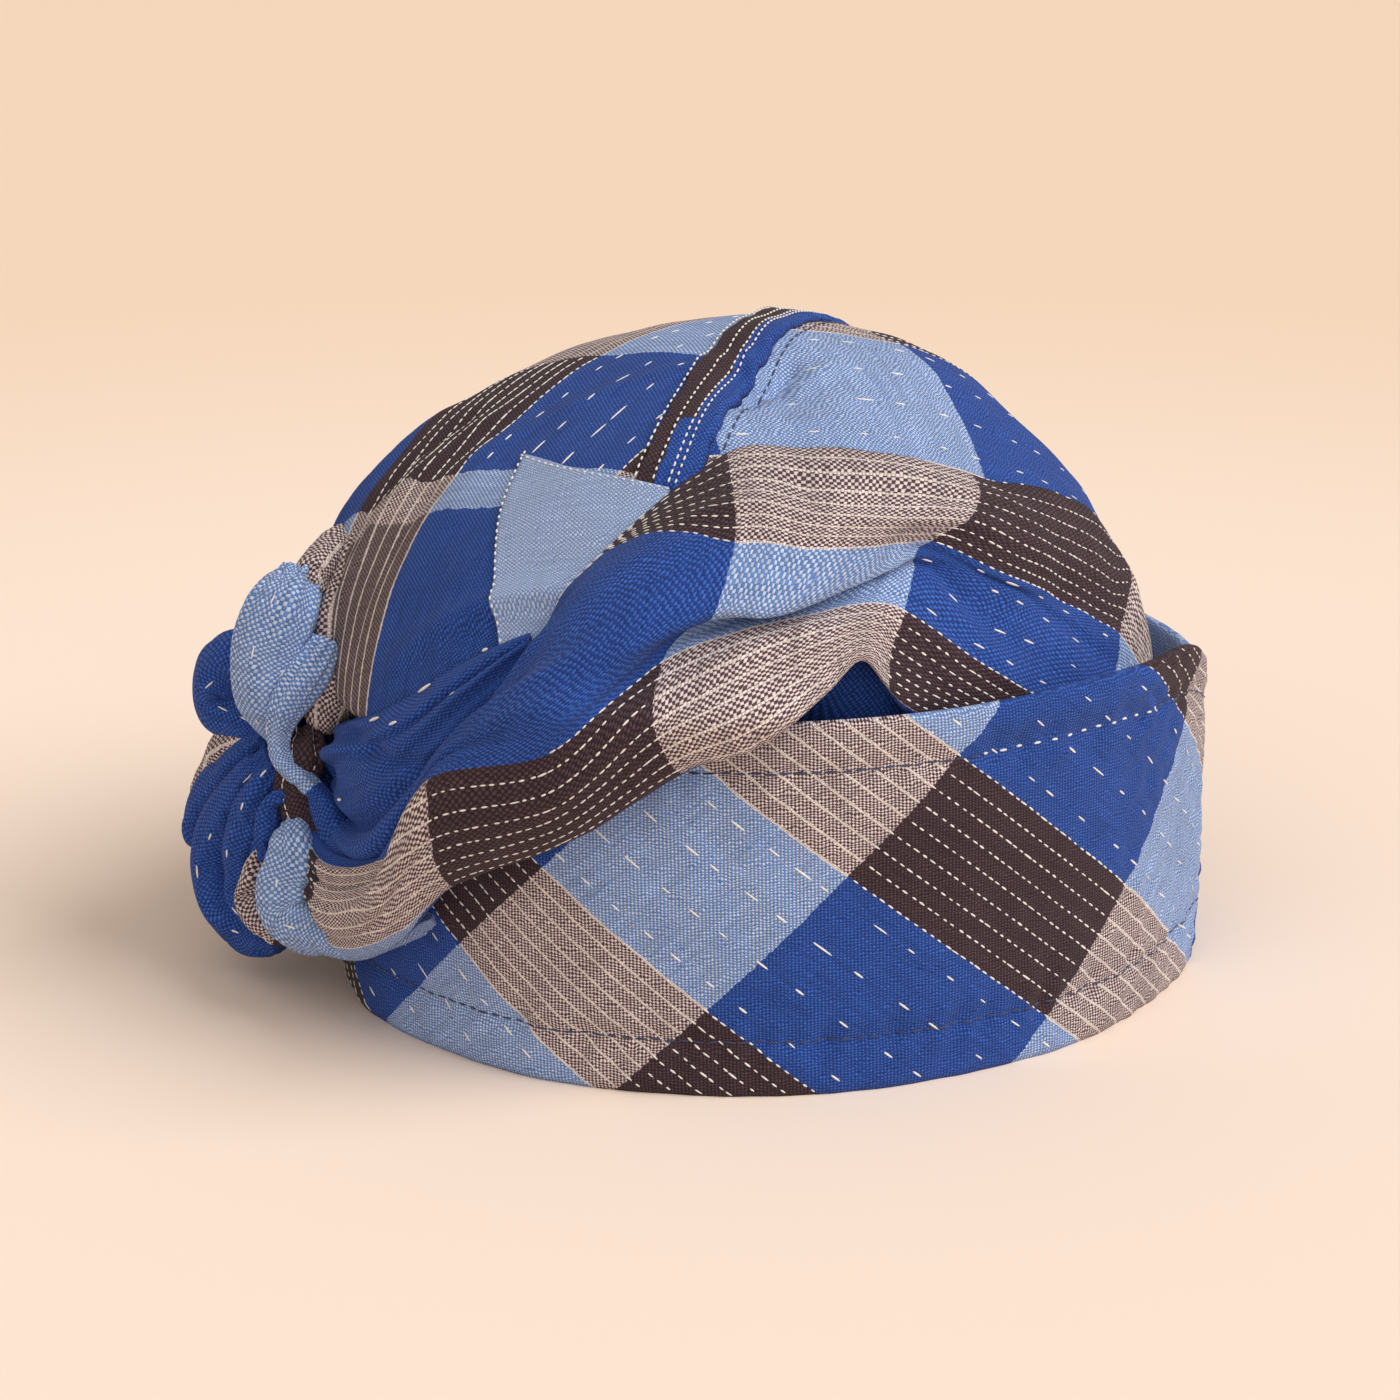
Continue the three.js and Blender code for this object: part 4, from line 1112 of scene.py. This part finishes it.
def make_wrap():
    """The wrap, and its outer face alone."""
    lines, across = fine_grid([section[1:] for section in WRAP_SECTIONS], WRAP_ACROSS,
                              WRAP_STEPS["along"], WRAP_STEPS["across"])
    weft = refine([section[0] for section in WRAP_SECTIONS], WRAP_STEPS["along"])
    side, run = np.meshgrid(across, weft * WEFT_BAND)
    relief = 0.3 * waves(side, run * 0.5, 24, 71) + 0.1 * waves(side, run, 9, 72)
    for place_from, weft_from, place_to, weft_to, width, height in WRAP_CREASES:
        relief += crease(side, run, (place_from, weft_from * WEFT_BAND), (place_to, weft_to * WEFT_BAND),
                         width, height)
    relief *= smooth(side, 0, 8) * (1 - smooth(side, 112, 120))
    shares = np.linspace(1, 0, WRAP_UNDER["rows"])[1:-1]
    top, under, angle = soft_sheet(lines, relief, shares, WRAP_UNDER["lift"])
    points = inside_band(np.concatenate([top, under], 1), angle)
    under_across = across[-1] + np.append((1 - shares) * WRAP_UNDER["width"], WRAP_UNDER["width"] + 2)
    side, run = np.meshgrid(np.concatenate([across, under_across]), weft)
    plaid = wrap_plaid(side, run)
    thread = np.stack([side, run * WEFT_BAND], -1)
    wrap = tube_piece("front_wrap_cloth", points, plaid, thread)
    count = int((across < WRAP_STRIPES[-1]).sum())
    face_points = points[:, :count].reshape(-1, 3)
    grid = outward(face_points, quad_faces(len(weft), count), HAT_HEART)
    face = make_mesh("wrap_face", face_points, grid, plaid[:, :count].reshape(-1, 2),
                     thread[:, :count].reshape(-1, 2))
    return wrap, face


wrap, wrap_face = make_wrap()
wrap.data.materials.append(cloth_material("wrap_plaid", thread=0.78))
wrap_dashes = weave_dashes("wrap_dashes", wrap_face, 81, blue_from=4.05)
ride(wrap, "wrap_cloth", "front_wrap")
ride(wrap_dashes, "wrap_cloth")

# ---- side gather -----------------------------------------------------------------------------------
# A pleated wedge of the wrap's blue cloth, drawn into the knot between the crown and the roll and
# caught down with a few long white stitches.
GATHER_LENGTH = 60
GATHER_STEPS = {"along": 22, "across": 16}
GATHER_UNDER = {"rows": 14, "width": 20, "lift": 0.25}
GATHER_PLAID = {"stripe": 1.08, "weft": 2.1, "width": 75}
# A row for each section from the knot's far end to its near one: angle, rise and lift of the crease
# beside the crown, the pleat, the groove, the swell and the hem.
GATHER_SECTIONS = [
    [(25, 24, 0), (26, 23, 3), (27, 21, 3), (28, 20, 4), (29, 19, 1)],
    [(16, 18, 0), (18, 16, 4), (20, 13, 4), (22, 11, 6), (25, 10, 2)],
    [(8, 12, 0), (10, 9, 5), (13, 6, 4), (16, 3, 7), (20, 1, 2)],
    [(1, 8, 0), (2, 5, 6), (5, 0, 5), (10, -4, 8), (15, -8, 2)],
    [(-5, 6, 0), (-4, 3, 7), (-2, -3, 4), (3, -7, 7), (8, -12, 1)],
    [(-10, 4, 0), (-9, 1, 4), (-8, -3, 3), (-6, -7, 4), (-4, -11, 0)],
]
GATHER_ACROSS = [0, 9, 20, 32, 40]
# Folds in the wedge: across and along of one end and of the other, width and height. Then the long
# white stitches that catch it down: across, along and length.
GATHER_CREASES = [
    (8, -4, 13, 52, 1.7, -2.4), (13, 4, 18, 50, 2.0, 1.3), (24, 10, 27, 56, 1.8, -2.0),
    (31, 16, 32, 58, 2.2, 1.0),
]
GATHER_STITCHES = [(3, 19, 4.6), (4, 31, 3.4), (9, 14, 2.4), (8, 24, 2.4), (20, 47, 1.8), (2, 8, 1.6)]


def make_gather():
    """The wedge, and the points of its upper face."""
    lines, across = fine_grid(GATHER_SECTIONS, GATHER_ACROSS, GATHER_STEPS["along"],
                              GATHER_STEPS["across"])
    lines[..., 2] = np.maximum(lines[..., 2], 0.5)
    run = np.linspace(0, GATHER_LENGTH, len(lines))
    side, along = np.meshgrid(across, run)
    fan = smooth(along, 6, 46)
    pleats = 1.2 * fan * np.sin(side * 0.62 + 0.03 * along + 0.8 * np.sin(along * 0.09))
    relief = pleats + 0.3 * waves(side, along * 0.6, 10, 91)
    for *ends, width, height in GATHER_CREASES:
        relief += crease(side, along, ends[:2], ends[2:], width, height)
    relief *= smooth(side, 0, 4) * (1 - smooth(side, 36, 40))
    shares = np.linspace(1, 0, GATHER_UNDER["rows"])[1:-1]
    top, under = soft_sheet(lines, relief, shares, GATHER_UNDER["lift"])[:2]
    under_across = across[-1] + np.append((1 - shares) * GATHER_UNDER["width"], GATHER_UNDER["width"] + 1)
    side, along = np.meshgrid(np.concatenate([across, under_across]), run)
    plaid = np.stack([GATHER_PLAID["stripe"] + side / GATHER_PLAID["width"],
                      GATHER_PLAID["weft"] + along / GATHER_PLAID["width"]], -1)
    thread = np.stack([side, along], -1)
    return tube_piece("side_pleats", np.concatenate([top, under], 1), plaid, thread), top


gather, gather_top = make_gather()
gather.data.materials.append(cloth_material("gather_plaid", thread=0.55))
gather_rows = []
for number, (side, along, length) in enumerate(GATHER_STITCHES):
    row = int(along / GATHER_LENGTH * (len(gather_top) - 1))
    column = int(np.interp(side, GATHER_ACROSS, np.arange(len(GATHER_ACROSS)) * GATHER_STEPS["across"]))
    line = (gather_top + grid_normals(gather_top) * 0.45)[row:row + 8, column]
    gather_rows.append(stitch_row(f"gather_{number}", line, WHITE_THREAD, length, 9, 0.75,
                                  seed=95 + number))
gather_stitches = join("gather_stitches", gather_rows)
ride(gather, "gather_cloth", "side_gather")
ride(gather_stitches, "gather_cloth")

# ---- knot ------------------------------------------------------------------------------------------
# The wrap's end is gathered hard and twisted on itself: loops of cloth that come out of one deep eye,
# each drawn into narrow pleats where it enters it. Each loop is crumpled by a cloth simulation.
LOBE_COLUMNS = 64
LOBE_STEPS = 16
LOBE_LEAN = (0.3, 0, 0)
# How many pleats a loop is drawn into, and how deep they are.
LOBE_PLEATS = {"counts": (5, 8, 13), "size": 2.4, "depth": 0.26}
LOBE_CUT = {"girth": 1.3, "weft": 0.75, "stripe": 0.47}
CLOTH_FRAMES = 14
CLOTH_CAP = 1.6
CLOTH_SCALE = 0.03
HELD_ROWS = 5
# How stiff and how full the simulated cloth is. It grows, as it shrinks by less than 0.
CLOTH_SETTINGS = {"quality": 5, "tension_stiffness": 12, "compression_stiffness": 12,
                  "shear_stiffness": 4, "bending_stiffness": 1.5, "use_pressure": True,
                  "uniform_pressure_force": 3, "shrink_min": -0.13}
# Each loop's stripe and weft band, then x, y, z, half width and half depth at places along it.
LOBES = {
    "grey_cap": (0.5, 1.15, [
        (-35, -85, 97, 3, 3), (-33, -91, 95, 4, 3.5), (-29, -97, 92, 4, 3.6), (-26, -99, 89, 2.5, 2.6)]),
    "drawn_stripe": (0.5, 1.2, [
        (-36, -76, 103, 6, 2), (-32, -81, 97, 7, 4), (-27, -87, 90, 6.4, 6), (-25, -91, 83, 6, 7),
        (-23, -93, 76, 5.6, 7), (-22, -96, 69, 5.4, 6.5), (-22, -98, 64, 5, 5), (-23, -98, 59, 3, 3)]),
    "upper_loop": (1.5, 1.1, [
        (-31, -99, 92, 4.5, 4), (-28, -105, 85, 7.5, 6), (-28, -108, 77, 7.5, 7),
        (-28, -109, 69, 6.5, 6.5), (-29, -107, 61, 4.5, 4.5), (-31, -105, 55, 2.4, 2.5)]),
    "upper_fold": (1.5, 1.5, [
        (-20, -99, 80, 3.5, 3.5), (-19, -103, 73, 4, 4.2), (-19, -108, 66, 3, 3.6),
        (-20, -109, 60, 2, 2.6), (-19, -109, 55, 1.9, 2.4), (-15, -106, 50, 2.8, 2.8),
        (-11, -104, 45, 3.4, 3.2), (-5, -103, 39, 3.2, 3.2), (-3, -101, 34, 2, 2)]),
    "far_loop": (1.5, 2.2, [
        (-38, -103, 67, 3, 3), (-47, -106, 68, 6, 5.5), (-52, -108, 63, 8, 7), (-50, -108, 57, 7, 6),
        (-38, -105, 55, 3, 3)]),
    "far_strap": (0.5, 1.2, [
        (-38, -106, 55, 2, 2), (-47, -109, 50, 3.6, 4), (-52, -110, 43, 4.4, 5), (-55, -111, 37, 4.2, 5),
        (-52, -111, 32, 3, 4)]),
    "lower_far_loop": (1.45, 2.2, [
        (-34, -107, 55, 2, 2.5), (-43, -109, 47, 4, 4.6), (-50, -111, 39, 5, 6), (-54, -112, 32, 5, 6.5),
        (-54, -111, 26, 4.6, 6), (-48, -111, 21, 3, 4)]),
    "lower_loop": (1.5, 2.1, [
        (-29, -108, 53, 2, 2.5), (-34, -111, 45, 4.2, 4.6), (-40, -113, 36, 5.4, 6.4),
        (-43, -114, 26, 6, 7.4), (-40, -114, 18, 5.6, 7.4), (-33, -112, 13, 4.8, 6.4),
        (-25, -109, 12, 3.4, 4)]),
    "inner_loop": (1.5, 2.15, [
        (-24, -108, 53, 2, 2.5), (-26, -111, 47, 3.2, 4.2), (-29, -113, 39, 4, 5.2),
        (-31, -113, 31, 4.4, 6.2), (-30, -113, 24, 4.2, 6.2), (-25, -113, 19, 3.6, 5.2),
        (-19, -111, 16, 2.6, 3.5)]),
    "grey_pleat": (0.5, 1.3, [
        (-24, -111, 34, 1.8, 3), (-24, -114, 28, 2.2, 4), (-25, -115, 23, 2.4, 4.4),
        (-21, -114, 18, 2.2, 4), (-16, -112, 15, 1.8, 2.5)]),
    "rolled_edge": (1.5, 2.1, [
        (-18, -109, 47, 1.3, 1.6), (-19, -113, 45, 1.5, 2), (-21, -114, 39, 1.5, 2.2),
        (-22, -114, 32, 1.2, 1.8)]),
    "near_loop": (1.5, 1.1, [
        (-18, -107, 42, 2.4, 3), (-13, -109, 37, 6, 5.5), (-12, -111, 30, 7.4, 7),
        (-10, -111, 24, 7.6, 7.5), (-4, -108, 22, 6.2, 6.5), (5, -103, 22, 4, 5), (14, -98, 26, 2.6, 4),
        (22, -94, 30, 1.6, 3)]),
    "eye": (0.5, 2.3, [
        (-24, -103, 59, 4, 2.5), (-21, -104, 54, 5.5, 3.5), (-20, -106, 48, 5.5, 4),
        (-16, -106, 42, 5, 4), (-11, -104, 38, 4, 3.5)]),
    "far_side": (1.5, 2.1, [
        (-32, -92, 76, 4, 4), (-39, -95, 69, 8, 7.5), (-44, -98, 61, 10, 8), (-46, -99, 52, 10.5, 8.5),
        (-48, -100, 43, 10, 8.5), (-50, -101, 34, 9, 8), (-50, -101, 26, 6.5, 6.5),
        (-46, -102, 20, 3.5, 4)]),
    "filling": (1.5, 2.3, [
        (-36, -95, 60, 6, 5), (-36, -97, 50, 12, 10), (-36, -99, 42, 16, 13), (-35, -100, 33, 18, 15),
        (-33, -100, 24, 17, 14), (-28, -100, 17, 11, 10), (-25, -100, 14, 5, 5)]),
}


def crumpled(points):
    """A closed tube of cloth after a simulation: it grows a little and its two ends are held, so that
    it buckles into soft folds. It runs on an enlarged copy, and no point moves further than the cap."""
    all_points, sides, ends = capped_tube(points)
    mesh = bpy.data.meshes.new("crumpled")
    mesh.from_pydata((all_points * CLOTH_SCALE).tolist(), [], sides.tolist() + ends.tolist())
    copy = put("crumpled", mesh)
    rings, count = points.shape[:2]
    held = [*range(HELD_ROWS * count), *range((rings - HELD_ROWS) * count, len(all_points))]
    group = copy.vertex_groups.new(name="held")
    group.add(held, 1.0, "ADD")
    cloth = copy.modifiers.new("cloth", "CLOTH")
    for name, value in CLOTH_SETTINGS.items():
        setattr(cloth.settings, name, value)
    cloth.settings.vertex_group_mass = "held"
    cloth.settings.effector_weights.gravity = 0
    cloth.collision_settings.use_collision = False
    cloth.point_cache.frame_start = 1
    cloth.point_cache.frame_end = CLOTH_FRAMES
    for frame_number in range(1, CLOTH_FRAMES + 1):
        bpy.context.scene.frame_set(frame_number)
    shape = copy.evaluated_get(bpy.context.evaluated_depsgraph_get())
    moved = np.zeros(len(all_points) * 3, np.float32)
    shape.data.vertices.foreach_get("co", moved)
    bpy.data.objects.remove(copy)
    bpy.context.scene.frame_set(1)
    shift = moved.reshape(-1, 3)[:rings * count] / CLOTH_SCALE - points.reshape(-1, 3)
    length = np.maximum(np.linalg.norm(shift, axis=1, keepdims=True), 1e-9)
    shift *= CLOTH_CAP * np.tanh(length / CLOTH_CAP) / length
    return points + shift.reshape(points.shape)


def make_lobe(name, stripe_at, weft_at, rows, number):
    """One loop of the knot: a tube round its path, drawn into pleats and crumpled."""
    rows = refine(rows, LOBE_STEPS)
    path, wide, deep = rows[:, :3], rows[:, 3], rows[:, 4]
    along = np.gradient(path, axis=0)
    along /= np.linalg.norm(along, axis=1, keepdims=True)
    out = path - np.array([0, 0, CENTRE_HEIGHT])
    out += np.linalg.norm(out, axis=1, keepdims=True) * np.array(LOBE_LEAN)
    side = np.cross(along, out)
    side /= np.linalg.norm(side, axis=1, keepdims=True)
    up = np.cross(side, along)
    turn = np.linspace(0, 2 * math.pi, LOBE_COLUMNS + 1)[:-1]
    run = np.concatenate([[0], np.cumsum(np.linalg.norm(np.diff(path, axis=0), axis=1))])
    share = np.linspace(0, 1, len(rows))[:, None]
    draw = np.random.default_rng(100 + number)
    pleats = np.zeros((len(rows), LOBE_COLUMNS))
    for count in LOBE_PLEATS["counts"]:
        start, drift = draw.uniform(0, 2 * math.pi), draw.uniform(-1.5, 1.5)
        pleats += np.sin(count * turn + start + drift * share * 3) * LOBE_PLEATS["size"] / count
    gathered = 1.0 - 0.72 * smooth(share, 0.05, 0.45) + 0.2 * smooth(share, 0.8, 1)
    swell = 1 + LOBE_PLEATS["depth"] * pleats * gathered
    swell += 0.05 * waves(turn * 7 + 0 * share, run[:, None] + 0 * turn, 12, number + 50)
    points = (path[:, None] + side[:, None] * (wide[:, None] * np.cos(turn) * swell)[..., None]
              + up[:, None] * (deep[:, None] * np.sin(turn) * swell)[..., None])
    points = crumpled(points)
    girth = 4.4 * (wide + deep).mean() / 2 * LOBE_CUT["girth"]
    across = np.linspace(-0.5, 0.5, LOBE_COLUMNS + 1)[None] * girth + 0 * share
    run_grid = run[:, None] + 0 * across
    # Each loop has stripes of its own, two further on than the last one's.
    aside = np.clip(across / BLUE_STRIPE, -LOBE_CUT["stripe"], LOBE_CUT["stripe"])
    plaid = np.stack([stripe_at + 2 * number + aside,
                      weft_at + run_grid / run[-1] * LOBE_CUT["weft"]], -1)
    return tube_piece(name, points, plaid, np.stack([across, run_grid], -1))


loops = [make_lobe(name, *facts, number) for number, (name, facts) in enumerate(LOBES.items())]
knot = join("gathered_knot", loops)
knot.data.materials.clear()
knot.data.materials.append(cloth_material("knot_plaid", thread=0.55))
knot_dashes = weave_dashes("knot_dashes", put("knot_face", knot.data.copy()), 131)
ride(knot, "knot_cloth", "knot")
ride(knot_dashes, "knot_cloth")

# ---- floor, light and camera -----------------------------------------------------------------------
# A wide pale floor of warm paper, its colour lighter near the hat and darker further off as a painted
# pool of light, a broad soft light on the right, a weaker one in front and warm light all round.
FLOOR_SIZE = 60
# Painted light: the floor's colour near the hat and far from it, a painted pool of light that fades out
# between these distances.
FLOOR_PAINTED_LIGHT_NEAR = (0.93, 0.79, 0.69, 1)
FLOOR_PAINTED_SHADE_FAR = (0.86, 0.685, 0.54, 1)
FLOOR_PAINTED_LIGHT_FALLOFF = {"from": 0.25, "to": 0.75}
LIGHTS = {
    "key": {"from": (0.52, 0.45, 0.68), "spread": 40, "strength": 2.3, "colour": (1.0, 0.98, 0.96)},
    "fill": {"from": (0.80, -0.80, 0.75), "spread": 90, "strength": 0.9, "colour": (1.0, 0.95, 0.90)},
}
ROOM_LIGHT = {"colour": (1.0, 0.87, 0.74, 1), "strength": 0.40}
CAMERA = {"azimuth": 60, "elevation": 18, "distance": 0.868, "lens": 100, "aside": -0.016, "up": 0.0558}


def make_floor():
    mesh = bpy.data.meshes.new("floor")
    half = FLOOR_SIZE / 2
    mesh.from_pydata([(-half, -half, 0), (half, -half, 0), (half, half, 0), (-half, half, 0)], [],
                     [(0, 1, 2, 3)])
    material, tree, shader = new_material("floor_paper", 0.9, 0.0, 0.1)
    place = Wire(add_node(tree, "ShaderNodeTexCoord"), "Object")
    reach = Wire(add_node(tree, "ShaderNodeVectorMath", {0: place}, operation="LENGTH"), "Value")
    # Painted pool of light: the paper's colour is lighter near the middle and darker and more orange
    # further off.
    share = add_node(tree, "ShaderNodeMapRange",
                     {"Value": reach, "From Min": FLOOR_PAINTED_LIGHT_FALLOFF["from"], "From Max": FLOOR_PAINTED_LIGHT_FALLOFF["to"]},
                     interpolation_type="SMOOTHSTEP")
    feed(shader.inputs["Base Color"], pick_colour(tree, share, FLOOR_PAINTED_LIGHT_NEAR, FLOOR_PAINTED_SHADE_FAR))
    mesh.materials.append(material)
    return put("floor", mesh)


def make_light(name, facts):
    light = bpy.data.lights.new(name, "SUN")
    light.angle = math.radians(facts["spread"])
    light.energy = facts["strength"]
    light.color = facts["colour"]
    lamp = put(name, light)
    lamp.location = facts["from"]
    lamp.rotation_euler = (-Vector(facts["from"])).to_track_quat("-Z", "Y").to_euler()


def make_camera():
    turn = math.radians(CAMERA["azimuth"])
    climb = math.radians(CAMERA["elevation"])
    back = Vector((math.sin(turn) * math.cos(climb), -math.cos(turn) * math.cos(climb), math.sin(climb)))
    aside = Vector((math.cos(turn), math.sin(turn), 0)) * CAMERA["aside"]
    aim = Vector((HAT_CENTRE.x, HAT_CENTRE.y, CAMERA["up"])) + aside
    lens = bpy.data.cameras.new("camera")
    lens.lens = CAMERA["lens"]
    camera = put("camera", lens)
    camera.location = aim + back * CAMERA["distance"]
    camera.rotation_euler = (-back).to_track_quat("-Z", "Y").to_euler()
    bpy.context.scene.camera = camera


make_floor()
for name, facts in LIGHTS.items():
    make_light(name, facts)
world = bpy.data.worlds.new("room")
world.use_nodes = True
background = world.node_tree.nodes["Background"]
background.inputs["Color"].default_value = ROOM_LIGHT["colour"]
background.inputs["Strength"].default_value = ROOM_LIGHT["strength"]
bpy.context.scene.world = world
bpy.context.scene.view_settings.view_transform = "Standard"
make_camera()
